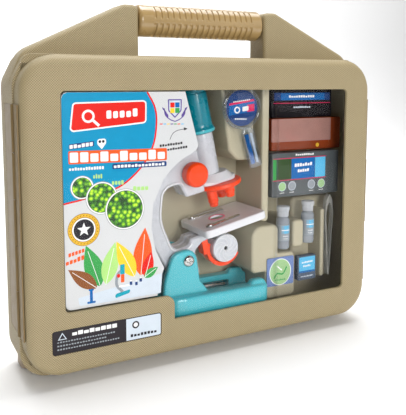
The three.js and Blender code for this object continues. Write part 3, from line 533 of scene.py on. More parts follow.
def embossed(name, peak_painted_light, valley_painted_shade, period=2.1, roughness=0.55, strength=0.35):
    """Moulded plastic with a fine lattice of raised dots: paler tops and darker hollows, which are painted
    light on the tops and painted shade in the hollows.
    """
    material, tree, place = started(name)
    coordinates = tree.nodes[0]
    x, y, z = add(tree, "ShaderNodeSeparateXYZ", (0, place)).outputs
    turn = 2 * pi / (period * MM)
    phases = [math_node(tree, "MULTIPLY", axis, turn) for axis in (x, y, z)]
    wave_x, wave_y, wave_z = (math_node(tree, "COSINE", phase) for phase in phases)
    lean = add(tree, "ShaderNodeSeparateXYZ", (0, coordinates.outputs["Normal"])).outputs
    sizes = [math_node(tree, "ABSOLUTE", axis) for axis in lean]
    share_x, share_y, share_z = (math_node(tree, "POWER", size, 4) for size in sizes)
    on_front = math_node(tree, "MULTIPLY", share_y, math_node(tree, "MULTIPLY", wave_x, wave_z))
    on_side = math_node(tree, "MULTIPLY", share_x, math_node(tree, "MULTIPLY", wave_y, wave_z))
    on_top = math_node(tree, "MULTIPLY", share_z, math_node(tree, "MULTIPLY", wave_x, wave_y))
    total = math_node(tree, "ADD", on_front, math_node(tree, "ADD", on_side, on_top))
    patches = noise(tree, place, 25, 3)
    mixed = math_node(
        tree, "ADD", math_node(tree, "MULTIPLY", total, 0.42), math_node(tree, "MULTIPLY", patches, 0.12),
    )
    level = math_node(tree, "ADD", mixed, 0.44)
    # painted light and shade: the colour runs from the darker hollow colour up to the paler top colour with
    # the height of the dots
    base = ramp(tree, level, (0.0, valley_painted_shade), (1.0, peak_painted_light))
    rough = between(tree, noise(tree, place, 300), roughness - 0.08, roughness + 0.08)
    dots = add(tree, "ShaderNodeBump", Strength=strength, Distance=0.0005, Height=total)
    grit = noise(tree, place, 2500, 3)
    both = add(tree, "ShaderNodeBump", Strength=0.08, Distance=0.0003, Height=grit, Normal=dots.outputs[0])
    shader = add(tree, "ShaderNodeBsdfPrincipled", Base_Color=base, Roughness=rough, Normal=both.outputs[0])
    add(tree, "ShaderNodeOutputMaterial", Surface=shader.outputs[0])
    return material


def clear(name, tone=(1, 1, 1, 1), sheen=0.04, ripple=0.0, scale=12, roughness=0.02):
    """A thin clear sheet: what is behind shows unbent, with a sheen that grows towards grazing views.

    sheen is its share when seen straight on.
    """
    material, tree, place = started(name)
    waves = add(tree, "ShaderNodeBump", Strength=ripple, Distance=0.004, Height=noise(tree, place, scale, 1))
    gloss = add(tree, "ShaderNodeBsdfGlossy", Roughness=roughness, Normal=waves.outputs[0])
    through = add(tree, "ShaderNodeBsdfTransparent", Color=tone)
    grazing = add(tree, "ShaderNodeLayerWeight", Blend=0.5, Normal=waves.outputs[0]).outputs["Facing"]
    rise = math_node(tree, "MULTIPLY", math_node(tree, "POWER", grazing, 5), 1 - sheen)
    share = math_node(tree, "ADD", rise, sheen)
    mixed = add(tree, "ShaderNodeMixShader", (0, share), (1, through.outputs[0]), (2, gloss.outputs[0]))
    add(tree, "ShaderNodeOutputMaterial", Surface=mixed.outputs[0])
    return material


def frosted(name, colour, cover=0.5, roughness=0.2):
    """Cloudy plastic that lets part of what is behind it show."""
    material, tree, place = started(name)
    patches = noise(tree, place, 60, 2)
    base = ramp(tree, patches, (0.2, shaded(colour, 0.92)), (0.8, shaded(colour, 1.08)))
    grit = add(tree, "ShaderNodeBump", Strength=0.05, Distance=0.0005, Height=noise(tree, place, 500))
    shader = add(
        tree, "ShaderNodeBsdfPrincipled", Base_Color=base, Roughness=roughness, Normal=grit.outputs[0],
    )
    through = add(tree, "ShaderNodeBsdfTransparent", Color=shaded(colour, 1.5))
    mixed = add(tree, "ShaderNodeMixShader", (0, cover), (1, through.outputs[0]), (2, shader.outputs[0]))
    add(tree, "ShaderNodeOutputMaterial", Surface=mixed.outputs[0])
    return material


def cells(name, size):
    """A printed picture of round green cells on a dark ground."""
    material, tree, place = started(name)
    spots = add(tree, "ShaderNodeTexVoronoi", Vector=place, Scale=1 / (size * MM), Randomness=0.75)
    rays = noise(tree, place, 1400, 3)
    far = math_node(tree, "ADD", spots.outputs["Distance"], math_node(tree, "MULTIPLY", rays, 0.25))
    base = ramp(
        tree,
        far,
        (0.22, rgb(226, 245, 60)),
        (0.42, rgb(150, 214, 20)),
        (0.62, rgb(62, 140, 14)),
        (0.85, rgb(16, 66, 10)),
    )
    shader = add(tree, "ShaderNodeBsdfPrincipled", Base_Color=base, Roughness=0.35)
    add(tree, "ShaderNodeOutputMaterial", Surface=shader.outputs[0])
    return material


def ink(name, red, green, blue):
    return plastic(
        "ink_" + name, rgb(red, green, blue), 0.4, tint=0.03, patch=120, grain=1800, bump=0.02, shine=0.2,
    )


# the first colour is painted light on the dot tops, the second is painted shade in the hollows
CASE_LOOK = embossed("case_plastic", rgb(190, 174, 134), rgb(106, 90, 60))
STRAP_LOOK = plastic("strap_plastic", rgb(128, 108, 72), 0.45, bump=0.04, grain=600, shine=0.2)
GRIP_LOOK = plastic("grip_plastic", rgb(166, 138, 90), 0.3, coat=1.0, bump=0.01)
FOOT_LOOK = plastic("foot_rubber", rgb(166, 148, 126), 0.55, bump=0.06)
TRAY_LOOK = plastic("tray_plastic", rgb(184, 176, 150), 0.38, tint=0.04, coat=0.2, bump=0.06)
GREY_LOOK = plastic(
    "scope_grey_plastic", rgb(200, 202, 208), 0.28, tint=0.03, coat=0.4, bump=0.006, glow=0.1,
)
RIM_LOOK = plastic("scope_rim_plastic", rgb(226, 226, 230), 0.24, tint=0.02, coat=0.4, bump=0.006)
TEAL_LOOK = plastic("teal_plastic", rgb(66, 184, 196), 0.3, tint=0.03, coat=0.6, bump=0.0, wear=0.03)
DEEP_TEAL_LOOK = plastic("deep_teal_plastic", rgb(0, 128, 146), 0.28, tint=0.04, coat=0.4, bump=0.006)
ORANGE_LOOK = plastic("orange_plastic", rgb(252, 68, 0), 0.3, tint=0.03, coat=0.2, bump=0.006, shine=0.3)
STEEL_LOOK = plastic("steel", rgb(200, 200, 198), 0.25, tint=0.06, metal=1.0, bump=0.05, grain=1500)
MIRROR_LOOK = plastic("mirror", rgb(230, 232, 235), 0.1, tint=0.02, metal=1.0, bump=0.005, wear=0.04)
# black used as painted shade: on the window retainer for the shadowed window edges and on the drum pin for
# the dark hole at the drum's centre
BLACK_PAINTED_SHADE_LOOK = plastic("black_painted_shade", rgb(28, 26, 30), 0.35, tint=0.15, bump=0.05)
DARK_BOX_LOOK = plastic("dark_box", rgb(14, 10, 16), 0.45, tint=0.2, shine=0.15)
AMBER_LOOK = frosted("amber_plastic", rgb(158, 70, 34), 0.75)
PACK_LOOK = plastic("pack_print", rgb(78, 84, 86), 0.42, tint=0.12, patch=25)
VIAL_LOOK = frosted("vial_plastic", rgb(190, 196, 204), 0.5)
FILM_LOOK = clear("window_film", sheen=0.004)
BLISTER_LOOK = clear("blister_film", sheen=0.008, ripple=0.05, scale=45, roughness=0.03)
LENS_LOOK = clear("lens_plastic", sheen=0.05, roughness=0.02)
MOULDING_LOOK = clear(
    "clear_moulding", tone=(0.86, 0.9, 0.95, 1), sheen=0.2, ripple=0.01, scale=60, roughness=0.08,
)
PAPER_LOOK = plastic("card_paper", rgb(208, 209, 210), 0.45, tint=0.015, patch=20, grain=1500, bump=0.05)

WHITE = ink("white", 240, 240, 238)
CYAN = ink("cyan", 0, 146, 190)
RED = ink("red", 224, 28, 16)
ORANGE = ink("orange", 236, 92, 30)
NAVY = ink("navy", 26, 62, 120)
DARK = ink("dark", 40, 38, 44)
GREY = ink("grey", 150, 156, 162)
LIME = ink("lime", 176, 222, 130)
GOLD = ink("gold", 222, 176, 48)
BRONZE = ink("bronze", 150, 104, 20)
PURPLE = ink("purple", 92, 70, 150)
YELLOW = ink("yellow", 246, 206, 50)
GREEN = ink("green", 60, 160, 80)
BLUE = ink("blue", 8, 100, 172)
SKY = ink("sky", 90, 184, 226)
MAGENTA = ink("magenta", 214, 30, 90)
PINK = ink("pink", 236, 120, 150)
PALE_GREEN = ink("pale_green", 158, 196, 140)
VIOLET = ink("violet", 110, 132, 184)
BROWN = ink("brown", 140, 84, 44)
LABEL_DARK = ink("label_dark", 44, 40, 44)
TEAL_INK = ink("teal", 20, 160, 180)
PALE = ink("pale", 206, 216, 226)
MOSS = ink("moss", 52, 76, 40)
CELLS = cells("green_cells", 4.2)


# ---------------------------------------------------------------- printing
def printed(surface, layers):
    """Thin printed layers on a face that looks to the front.

    Each is (outline, ink), or (outline, ink, level) to lie on others.
    """
    parts = []
    for outline, look, *level in layers:
        height = level[0] if level else 1
        parts.append(
            (plate(anticlockwise(outline), surface - PRINT_STEP * height, surface + 0.01, edge=0), look)
        )
    return parts


def dashes(x0, z0, x1, z1, height, count, gap, look, level=1, radius=0.4):
    """A row of small blocks from (x0, z0) to (x1, z1), where the real thing carries words."""
    chooser = random.Random(round(x0 * 10 + z0))
    row = []
    pitch = (x1 - x0) / count
    for k in range(count):
        left = x0 + pitch * k
        rise = (z1 - z0) * k / count
        tall = height * chooser.choice((0.75, 1, 1, 0.85))
        low = z0 + rise
        row.append(
            (slanted(left, low, left + pitch - gap, low + (z1 - z0) / count, tall, radius), look, level)
        )
    return row


# ---------------------------------------------------------------- carrying case
def shell_outline(grow=0.0):
    """The rear shell's outline, grown by a distance. Its upper corners are cut at a slant and rounded."""
    side, bottom = CASE["half"] + grow, CASE["bottom"] - grow
    shoulder = (side, SHOULDER["z"] + 0.235 * grow, SHOULDER["round"] + grow)
    crown = (SHOULDER["x"] + 0.618 * grow, CASE["top"] + grow, SHOULDER["top_round"] + grow)
    corner = CASE["corner"] + grow
    left = [(-x, z, radius) for x, z, radius in (crown, shoulder)]
    return rounded([(-side, bottom, corner), (side, bottom, corner), shoulder, crown, *left], 16)


def horn_outline(shrink):
    slope = atan2(HORN["top"] - HORN["heel_top"], HORN["heel"] - HORN["top_outer"])
    low = CASE["top"] - 12
    side = CASE["half"]
    return rounded(
        [
            (-HORN["inner"] - shrink, low, 0),
            (-HORN["inner"] - shrink, HORN["top"] - shrink, 6),
            (-HORN["top_outer"] - shrink * tan(slope / 2), HORN["top"] - shrink, 9),
            (-HORN["heel"] + 0.78 * shrink, HORN["heel_top"] - 0.74 * shrink, 24),
            (-side + shrink, SHOULDER["z"] - 0.2 * shrink, 20),
            (-side + shrink, low - 30, 0),
            (-side + CASE["wall"] + shrink + 24, low - 30, 0),
        ],
        12,
    )


def both_sides(outline):
    return [outline, anticlockwise([Vector((-p.x, p.y)) for p in outline])]


def pin_clearance(x, y):
    return slab(
        disc(x, y, HINGE["barrel"] + BARREL_GAP, 16), HINGE["bottom"] - STRAP_GAP, HINGE["top"] + STRAP_GAP,
        0,
    )


def rear_shell():
    body = plate(shell_outline(), CASE["front"], CASE["back"], edge=0.6, back_edge=CASE["edge"], steps=8)
    shell = shape("rear_shell_piece", (body, CASE_LOOK))
    horns = [
        plate(o, HORN["front"], HORN["back"], HORN["edge"], steps=6) for o in both_sides(horn_outline(0))
    ]
    carve(shell, *horns, how="UNION")
    sill = CASE["front"] + SILL["depth"]
    cavity = plate(shell_outline(-CASE["wall"]), sill, CASE["back"] - CASE["wall"], 0, back_edge=6, steps=6)
    across = CASE["half"] - CASE["wall"]
    opening = rect(-across, SILL["bottom"], across, CASE["top"] - CASE["wall"], SILL["corner"], 16)
    depth = (HORN["front"] + HORN["wall"], HORN["back"] - HORN["wall"])
    pockets = [plate(o, *depth, 0) for o in both_sides(horn_outline(HORN["wall"]))]
    straps = []
    for side in (-1, 1):
        a, b = sorted((side * (STRAP["inner"] - STRAP_GAP), side * (STRAP["outer"] + 1)))
        recess = rect(a, CASE["front"] - 1, b, STRAP["back_edge"] + STRAP_GAP, 0)
        straps.append(slab(recess, HINGE["bottom"] - STRAP_GAP, HINGE["top"] + STRAP_GAP, 0))
    bore, reach = HANDLE["rod"] + 0.2, HANDLE["half"] + 6.5
    along_rod = Matrix.Translation((0, HANDLE["y"], HANDLE["z"])) @ Matrix.Rotation(radians(90), 4, "Y")
    rod_hole = moved(
        turned([(0, -reach, 0), (bore, -reach, 0), (bore, reach, 0), (0, reach, 0)], 40), along_rod,
    )
    mouth = plate(opening, CASE["front"] - 1, sill + 1, 0)
    barrels = [pin_clearance(-HINGE["x"], HINGE["y"]), pin_clearance(HINGE["x"], LATCH_Y)]
    carve(shell, cavity, mouth, *pockets, *straps, *barrels, rod_hole)
    ride(smooth(shell, 30), "case_beige", "case", "rear_shell")


def window_outline(grow=0.0, corner=None):
    left, right = -WINDOW["half"] - grow, WINDOW["half"] + grow
    bottom, top = WINDOW["bottom"] - grow, WINDOW["top"] + grow
    step_x, step_z = WINDOW["step_x"] - grow, WINDOW["step_z"] - grow
    corner = corner or WINDOW["corner"]
    return rounded(
        [
            (left, step_z, corner),
            (step_x, step_z, WINDOW["step_corner"]),
            (step_x, bottom, 1),
            (right, bottom, corner),
            (right, top, corner),
            (left, top, corner),
        ],
        10,
    )


def lid_frame():
    outline = rect(-LID["half"], LID["bottom"], LID["half"], LID["top"], LID["corner"], 16)
    body = plate(outline, LID["front"], LID["back"], LID["edge"], back_edge=0.5, steps=8)
    lid = shape("lid_frame_piece", (body, CASE_LOOK))
    wall, across = LID["wall"], LID["half"] - LID["wall"]
    hollow = rect(-across, LID["bottom"] + wall, across, LID["top"] - wall, LID["corner"] - wall, 16)
    cavity = plate(hollow, LID["front"] + wall, LID["back"] + 5, 6, back_edge=0, steps=6)
    window = window_outline()
    lip = WINDOW["lip"]
    levels = [(-lip, LID["front"] - 1)] + [
        (-i, LID["front"] + d) for i, d in quarter(lip, 4)
    ] + [(0, LID["front"] + 6)]
    opening = loft([[Vector((p.x, y, p.y)) for p in inset(window, i)] for i, y in levels])
    label = rect(LABEL["left"] - 0.3, LABEL["bottom"] - 0.3, LABEL["right"] + 0.3, LABEL["top"] + 0.3, 2.5)
    pocket = plate(label, LID["front"] - 1, LID["front"] + LABEL["depth"], 0)
    carve(lid, cavity, opening, pocket, pin_clearance(-HINGE["x"], HINGE["y"]))
    ride(smooth(lid, 30), "case_beige", "lid", "lid_frame")


def grip_depth(along, angle):
    """How deep the grip's grooves are. Each side has a row of fine ones above a row of wide ones."""
    row_half = HANDLE["grooves"] * HANDLE["pitch"] / 2
    offset = along - HANDLE["offset"]
    if abs(offset) > row_half:
        return 0
    phase = abs((offset / HANDLE["pitch"]) % 1 - 0.5) * HANDLE["pitch"]
    turn = abs(degrees(angle))
    result = 0
    for low, high, half, depth in GRIP_ROWS:
        across = min(1, max(0, (half + 0.25 - phase) / 0.5))
        around = min(1, max(0, min(turn - low, high - turn) / 5))
        result = max(result, depth * across * around)
    return result


def handle():
    radius, half = HANDLE["radius"], HANDLE["half"]
    rings = []
    ends = [(radius - 2.5, 0), (radius - 0.8, 0.8), (radius, 2.5)]
    stations = [(r, -half + d) for r, d in ends]
    count = 400
    stations += [(radius, -half + 2.5 + (2 * half - 5) * k / count) for k in range(1, count)]
    stations += [(r, half - d) for r, d in reversed(ends)]
    bore = HANDLE["rod"] + 0.3
    stations = [(bore, -half), *stations, (bore, half)]
    segments = 96
    for r, x in stations:
        ring = []
        for k in range(segments):
            angle = 2 * pi * k / segments - pi
            reach = r - (grip_depth(x, angle) if r == radius else 0)
            ring.append(
                Vector((x, HANDLE["y"] - reach * sin(angle), HANDLE["z"] + reach * cos(angle)))
            )
        rings.append(ring)
    stand_in("handle_grip", "grip_beige", GRIP_LOOK, loft(rings, capped=False), sharp=50)
    trimmed("handle_rod", "case_beige", STRAP_LOOK, 0.5)


def hinge_and_latch():
    for node in ("hinge_leaf_rear", "hinge_leaf_lid", "side_latch"):
        trimmed(node, "strap_beige", STRAP_LOOK, 0.25)
    for node in ("hinge_pin", "latch_pin"):
        trimmed(node, "steel", STEEL_LOOK, 0.15)
    for node in ("foot_left", "foot_right"):
        softened(node, "foot_grey", FOOT_LOOK, 0.7)


def label_plate():
    left, right, bottom, top = LABEL["left"], LABEL["right"], LABEL["bottom"], LABEL["top"]
    front, back = LID["front"] + 0.15, LID["front"] + LABEL["depth"] - 0.1
    outline = rect(left, bottom, right, top, 2.2)
    split = LABEL["split"]
    white_part = rounded(
        [
            (split, bottom + 0.6, 0), (right - 0.6, bottom + 0.6, 1.8), (right - 0.6, top - 0.6, 1.8),
            (split, top - 0.6, 0),
        ],
        5,
    )
    layers = [(white_part, PALE, 2)]
    warning = [
        Vector((left + 4.6, top - 8)), Vector((left + 12.4, top - 8)), Vector((left + 8.5, top - 1.8)),
    ]
    layers += [(warning, PALE, 2), (inset(warning, 0.7), LABEL_DARK, 3)]
    layers += dashes(left + 17, top - 6, split - 8, top - 6, 3.6, 8, 0.8, WHITE, 2)
    layers += dashes(left + 4, top - 10.6, split - 10, top - 10.6, 1.3, 22, 0.7, GREY, 2)
    layers += dashes(left + 4, top - 13.8, split - 18, top - 13.8, 1.3, 18, 0.7, GREY, 2)
    layers += dashes(left + 4, top - 17, split - 6, top - 17, 1.3, 24, 0.7, GREY, 2)
    layers += [(disc(split + 9, top - 7, 3.4), DARK, 3), (disc(split + 9, top - 7, 2), WHITE, 4)]
    layers += dashes(split + 4, bottom + 3.2, right - 4, bottom + 3.2, 2.6, 8, 0.8, DARK, 3)
    parts = [(plate(outline, front, back, 0.2), LABEL_DARK), *printed(front, layers)]
    stand_in("label_plate", "label", LABEL_DARK, *parts)


def film():
    frame["nodes"]["window_film"].data.materials[0] = FILM_LOOK
    # the retainer is coloured black as painted shade along the window's edges
    trimmed("window_retainer", "tray_beige", BLACK_PAINTED_SHADE_LOOK, 0.3)


# ---------------------------------------------------------------- printed card
def card_field():
    """The blue corner of the card, with its red edge, and the badge on it."""
    edge = curve_through(
        [
            (-148.8, 159.4), (-128, 163), (-99.4, 170.5), (-79.5, 185.5), (-67.5, 204), (-63.6, 223.7),
            (-65, 239), (-72.2, 252.7),
        ]
    )
    corner = [Vector((-143.7, 252.7)), Vector((-147.2, 251.2)), Vector((-148.7, 247.7))]
    field = [*edge, *corner]
    badge = rounded(
        [(-142.6, 219.4, 3.5), (-73.2, 225.4, 3.5), (-72.8, 245.6, 3.5), (-139.4, 244.4, 3.5)], 6,
    )
    layers = [(field, CYAN), (stroke(edge, 1.5), RED, 2), (badge, WHITE, 2), (inset(badge, 1.3), RED, 3)]
    layers += [(disc(-126, 232.6, 5.6), WHITE, 4), (disc(-126, 232.6, 3.6), RED, 5)]
    layers += [(stroke([Vector((-121.8, 229)), Vector((-116.6, 224.4))], 2.4), WHITE, 4)]
    layers += dashes(-110, 230, -80, 231.6, 7, 5, 1.6, WHITE, 4, 1.2)
    return layers


def card_titles():
    layers = []
    layers += [
        (slanted(-143.2, 205.2, -121.4, 207.2, 4.4), NAVY, 2),
        *dashes(-142.6, 205.7, -121.8, 207.6, 3.2, 6, 0.7, WHITE, 3),
    ]
    balloon = rounded(
        [(-114.6, 204.2, 0.5), (-110.6, 209.4, 2), (-110.8, 213.4, 3), (-118.4, 213, 3), (-118.6, 208.8, 2)],
        5,
    )
    layers += [(balloon, WHITE, 2), (disc(-116.2, 210.8, 1.2), DARK, 3), (disc(-113.2, 210.9, 1.2), DARK, 3)]
    layers += [(slanted(-143.8, 192.9, -53.6, 191.3, 11, 1.2), ORANGE, 3)]
    layers += dashes(-142.6, 194.1, -53.9, 192.6, 8.6, 10, 1.7, WHITE, 4, 1.0)
    layers += dashes(-143.4, 187.4, -112.5, 187, 2.6, 13, 0.6, WHITE, 2)
    layers += [
        (slanted(-105.4, 186.3, -54, 185.9, 4.6, 1.2), NAVY, 3),
        *dashes(-104, 187.3, -55.4, 186.9, 2.5, 15, 0.8, WHITE, 4),
    ]
    for x, z, width in ((-122.6, 179.4, 8.6), (-106, 172.6, 11.4), (-86.4, 166, 15)):
        layers += dashes(x, z, x + width, z - 0.4, 4, 4, 0.7, LIME, 4, 0.8)
    return layers


def card_rounds():
    """The three round pictures and the medal."""
    layers = []
    for x, z, radius, level in ((-132.5, 172.3, 10.3, 2), (-115.3, 162, 14.4, 3), (-94.3, 150.2, 18.3, 4)):
        layers += [(disc(x, z, radius), GREY, level), (disc(x, z, radius - 0.5), WHITE, level + 0.25)]
        layers += [
            (disc(x, z, radius - 1.6), DARK, level + 0.5), (disc(x, z, radius - 2.0), CELLS, level + 0.75),
        ]
    x, z = -131.7, 136
    layers += [(disc(x, z, 14.2), BRONZE), (disc(x, z, 13.8), GOLD, 1.5), (disc(x, z, 10.8), BRONZE, 2)]
    layers += [(disc(x, z, 10.3), WHITE, 2.5), (disc(x, z, 9), DARK, 3), (star(x, z, 6.2), WHITE, 4)]
    beads = [2 * pi * k / 28 for k in range(28)]
    layers += [(disc(x + 12.3 * cos(a), z + 12.3 * sin(a), 0.45, 8), BRONZE, 2) for a in beads]
    return layers


def card_side():
    """The plain badge, arrow and lines to the right of the blue field."""
    x, z = -45.4, 237
    shield = rounded(
        [
            (x - 7, z + 9, 0.8), (x + 7, z + 9, 0.8), (x + 6.6, z - 1.5, 3), (x, z - 8, 1),
            (x - 6.6, z - 1.5, 3),
        ],
        5,
    )
    layers = [(shield, PURPLE), (inset(shield, 1.1), PALE, 2)]
    for dx, dz, look in ((-4.6, 1.6, RED), (0.3, 1.6, BLUE), (-4.6, -3.4, YELLOW), (0.3, -3.4, GREEN)):
        layers.append((rect(x + dx, z + dz, x + dx + 4.3, z + dz + 4.5, 0.5, 3), look, 3))
    for side in (-1, 1):
        sprig = curve_through(
            [(x + side * 10.5, z + 1), (x + side * 9.4, z - 5), (x + side * 5, z - 9), (x, z - 11)], 5,
        )
        layers.append((stroke(sprig, 0.9), PURPLE))
        for k in range(4):
            angle = 90 + side * (-38 + 12 * k)
            layers.append(
                (leaf(x + side * (9.9 - k * 0.9), z - 1.4 - k * 2.2, 4.4, 1.5, angle), PURPLE, 1.5)
            )
    colours = (RED, SKY, YELLOW, PURPLE, GREEN, ORANGE, SKY)
    for k, colour in enumerate(colours):
        left, low = -60.4 + 3.5 * k, 223.6 - 0.1 * k
        layers.append((rect(left, low, left + 2.8, low + 0.9, 0.2, 2), colour))
    arrow = curve_through([(-50.6, 209.6), (-48, 214.6), (-43.4, 217.6), (-35, 219)], 6)
    layers += [
        (stroke(arrow, 0.5), DARK),
        (rounded([(-32.6, 218.9, 0), (-36.6, 220.5, 0), (-36.2, 217.5, 0)], 1), DARK),
    ]
    layers += dashes(-60.6, 203.4, -37.5, 205.2, 2.2, 9, 0.6, DARK)
    layers += dashes(-60.8, 199, -32.5, 201.4, 2.2, 11, 0.6, DARK)
    return layers


def card_drawing():
    """A simple drawing of a microscope among leaves, and two rows of orange blocks."""
    layers = dashes(-145.6, 113.4, -131, 116.6, 3.2, 5, 0.7, ORANGE)
    layers += dashes(-148, 106.4, -124.5, 111.6, 4, 7, 0.8, ORANGE)
    table = rounded([(-138, 76.6, 1), (-59, 87.6, 1), (-60.6, 69, 1), (-118, 69, 3), (-137, 69.6, 2)], 4)
    layers.append((table, PALE))
    leaves = ((-118, 84, 40, 17, 108, GREEN), (-113, 85, 38, 15, 76, LIME), (-121, 83, 32, 13, 142, BROWN))
    leaves += (
        (-80, 88, 44, 18, 84, ORANGE), (-76, 86, 24, 11, 74, RED), (-86, 88, 38, 15, 116, YELLOW),
        (-77, 86, 16, 8, 30, GREEN),
    )
    for k, (x, z, length, width, angle, look) in enumerate(leaves):
        layers.append((leaf(x, z, length, width, angle), look, 1.5 + 0.25 * k))
        tip = Vector((x, z)) + 0.86 * length * Vector(
            (cos(radians(angle)), sin(radians(angle)))
        )
        layers.append((stroke([Vector((x, z)), tip], 0.5), WHITE, 3.4))
    layers += [(rounded([(-105, 71, 2), (-91, 74, 2), (-90, 77.4, 2), (-104, 75, 2)], 4), TEAL_INK, 4)]
    arm = curve_through([(-97.5, 76), (-103, 83), (-102, 92), (-98, 96)], 6)
    layers += [
        (stroke(arm, 2.6), GREY, 4), (rect(-101, 80.4, -91, 82, 0.4, 3), WHITE, 4.5),
        (slanted(-99.6, 92, -95.4, 92, 9), TEAL_INK, 4.5),
    ]
    layers += [(rect(-99, 84.6, -95.8, 92, 0.6, 3), ORANGE, 4.2), (disc(-101.2, 91, 1.7), RED, 4.8)]
    for x, z in ((-89.6, 83), (-84.4, 82), (-80.2, 84.6)):
        layers.append((rect(x - 1.2, z - 2, x + 1.2, z + 1.2, 0.4, 3), NAVY, 3))
        layers.append((rect(x - 0.8, z + 1.2, x + 0.8, z + 2.4, 0.3, 3), WHITE, 3))
    layers += [
        (rect(-127.6, 71.4, -125, 82, 0.5, 3), BLUE, 2), (rect(-130, 70.2, -122.6, 72, 0.4, 3), BLUE, 2.4),
        (rect(-128.6, 81.4, -124, 83, 0.4, 3), BLUE, 2.4),
    ]
    return layers


def printed_card():
    frame["nodes"]["printed_card"].data.materials[0] = PAPER_LOOK
    layers = card_field() + card_titles() + card_rounds() + card_side() + card_drawing()
    build("card_print", "printed_card", "lid", *printed(CARD_FACE, layers))


# ---------------------------------------------------------------- tray and blister
ISLANDS = [
    (
        [
            (48, 66, 5), (65, 66, 2), (65, 36, 5), (102, 36, 6), (102, 84, 6), (80.5, 84, 2),
            (80.5, 115, 7), (48, 115, 12),
        ],
        -19.5, 3,
    ),
    ([(99, 88, 4), (112.5, 88, 4), (112.5, 117, 4), (99, 117, 4)], -19.5, 2.5),
    ([(13.7, 274, 2), (26, 193, 6), (36, 183, 6), (55, 183, 6), (55, 274, 4)], -10, 3),
    ([(60.5, 119, 4), (69, 119, 4), (69, 272, 4), (60.5, 272, 4)], -17, 2),
    ([(115, 42, 6), (170, 42, 6), (170, 136, 6), (115, 136, 6)], 6, 4),
    ([(138, 50, 2.4), (143, 50, 2.4), (143, 125, 2.4), (138, 125, 2.4)], -16, 2),
    ([(-66, 14.5, 3), (66, 14.5, 3), (66, 37.7, 4), (-66, 37.7, 4)], -15.8, 2.5),
    ([(-170, 22, 9), (-130, 22, 9), (-130, 120, 9), (-170, 120, 9)], -15.8, 4),
]


def inner_tray():
    def outline(shrink):
        across, corner = TRAY["half"] - shrink, TRAY["corner"] - shrink
        return rect(-across, TRAY["bottom"] + shrink, across, TRAY["top"] - shrink, corner, 12)

    tray = shape(
        "inner_tray_piece", (plate(outline(0), TRAY["front"], TRAY["back"], 0.4, back_edge=4), TRAY_LOOK),
    )
    floor = TRAY["back"] - TRAY["sheet"]
    carve(tray, plate(outline(TRAY["sheet"]), TRAY["front"] - 1, floor, 0, back_edge=3))
    for points, front, edge in ISLANDS:
        carve(tray, plate(rounded(points, 8), front, floor + 0.6, edge, back_edge=0, steps=6), how="UNION")
    ride(smooth(tray, 30), "tray_beige", "case", "inner_tray")


def blister_height(x, z):
    """How far forward the clear cover stands at a point, from its flange."""
    forward = 0
    for x0, z0, x1, z1, rise, edge, slope in DOMES:
        inside = min(x - x0, z - z0, z1 - z)
        share = min(1, max(0, inside / edge))
        down = min(1, max(0, (x1 - x) / slope))
        forward = max(forward, rise * sqrt(1 - (1 - share) ** 2) * down * down * (3 - 2 * down))
    return forward


def clear_blister():
    """A vacuum-formed sheet: one grid of points over the contents and a parallel grid behind it."""
    rims = (0, 0.3, 0.8, 1.6, 2.5, 3.5)
    x_lines = sorted({*range(-177, 179, 2), *(-125 + e for e in rims), *(170 - e for e in rims)})
    z_lines = sorted({*range(17, 279, 4), *(24 + e for e in rims), *(276 - e for e in rims)})
    sheet = []
    for depth in (0, 0.5):
        for z in z_lines:
            for x in x_lines:
                sheet.append(Vector((x, FLANGE_Y - blister_height(x, z) + depth, z)))
    wide, tall = len(x_lines), len(z_lines)
    faces = []
    for layer in (0, wide * tall):
        for j in range(tall - 1):
            for i in range(wide - 1):
                a = layer + j * wide + i
                faces.append((a, a + 1, a + wide + 1, a + wide))
    rim = [*range(wide), *((j + 1) * wide - 1 for j in range(1, tall))]
    rim += [*range(tall * wide - 2, (tall - 1) * wide - 1, -1), *(j * wide for j in range(tall - 2, 0, -1))]
    faces += [(a, b, b + wide * tall, a + wide * tall) for a, b in zip(rim, rim[1:] + rim[:1])]
    stand_in("clear_blister", "clear_plastic", BLISTER_LOOK, (sheet, faces), sharp=60)


# ---------------------------------------------------------------- microscope
def scope_turned(profile, x, y=0.0, **options):
    return moved(turned(profile, **options), SCOPE @ Matrix.Translation((x, y, 0)))


def scope_front(profile, x, z, **options):
    return moved(turned_front(profile, x, z, **options), SCOPE)


def scope_base():
    softened("scope_base", "teal", TEAL_LOOK, 0.6, 26)
    trimmed("battery_cover", "teal", TEAL_LOOK, 0.4)
    for node in ("battery_front", "battery_back", "tilt_nut"):
        trimmed(node, "steel", STEEL_LOOK, 0.3)
    x, z = PIVOT[0], PIVOT[2]
    profile = [
        (0, -27, 0), (2.4, -27, 0.4), (2.4, 21.2, 0), (5.6, 21.2, 0.3), (5.6, 22.4, 1), (4, 23.6, 1.2),
    ]
    head = shape("tilt_screw_piece", (turned_front([*profile, (0, 23.6, 0)], x, z), STEEL_LOOK))
    cross = [rect(x - a, z - b, x + a, z + b, 0.3, 3) for a, b in ((3.4, 0.65), (0.65, 3.4))]
    carve(head, *(plate(outline, -30, -22.1, 0) for outline in cross))
    ride(smooth(head), "steel", "case", "tilt_screw")


def arm():
    softened("arm_front_half", "scope_grey", GREY_LOOK, 0.5, 6)
    softened("arm_back_half", "scope_grey", GREY_LOOK, 0.5, 6)
    opening = rounded(
        [(15, 58, 3), (11, 72.5, 4), (-6, 72.5, 13), (-15, 44, 40), (-9, 11, 10), (7, 11, 7), (11, 16.7, 0)],
        8,
    )
    bead = [Vector((p.x, -12.1, p.y)) for p in inset(opening, -2.4)]
    line = [p for p in bead if not (p.x > 6 and 14 < p.z < 62)]
    start = max(range(len(line)), key=lambda i: (line[i] - line[i - 1]).length)
    line = line[start:] + line[:start]
    build("arm_rim", "scope_grey", "arm", (moved(tube(line, 1.1), SCOPE), RIM_LOOK))


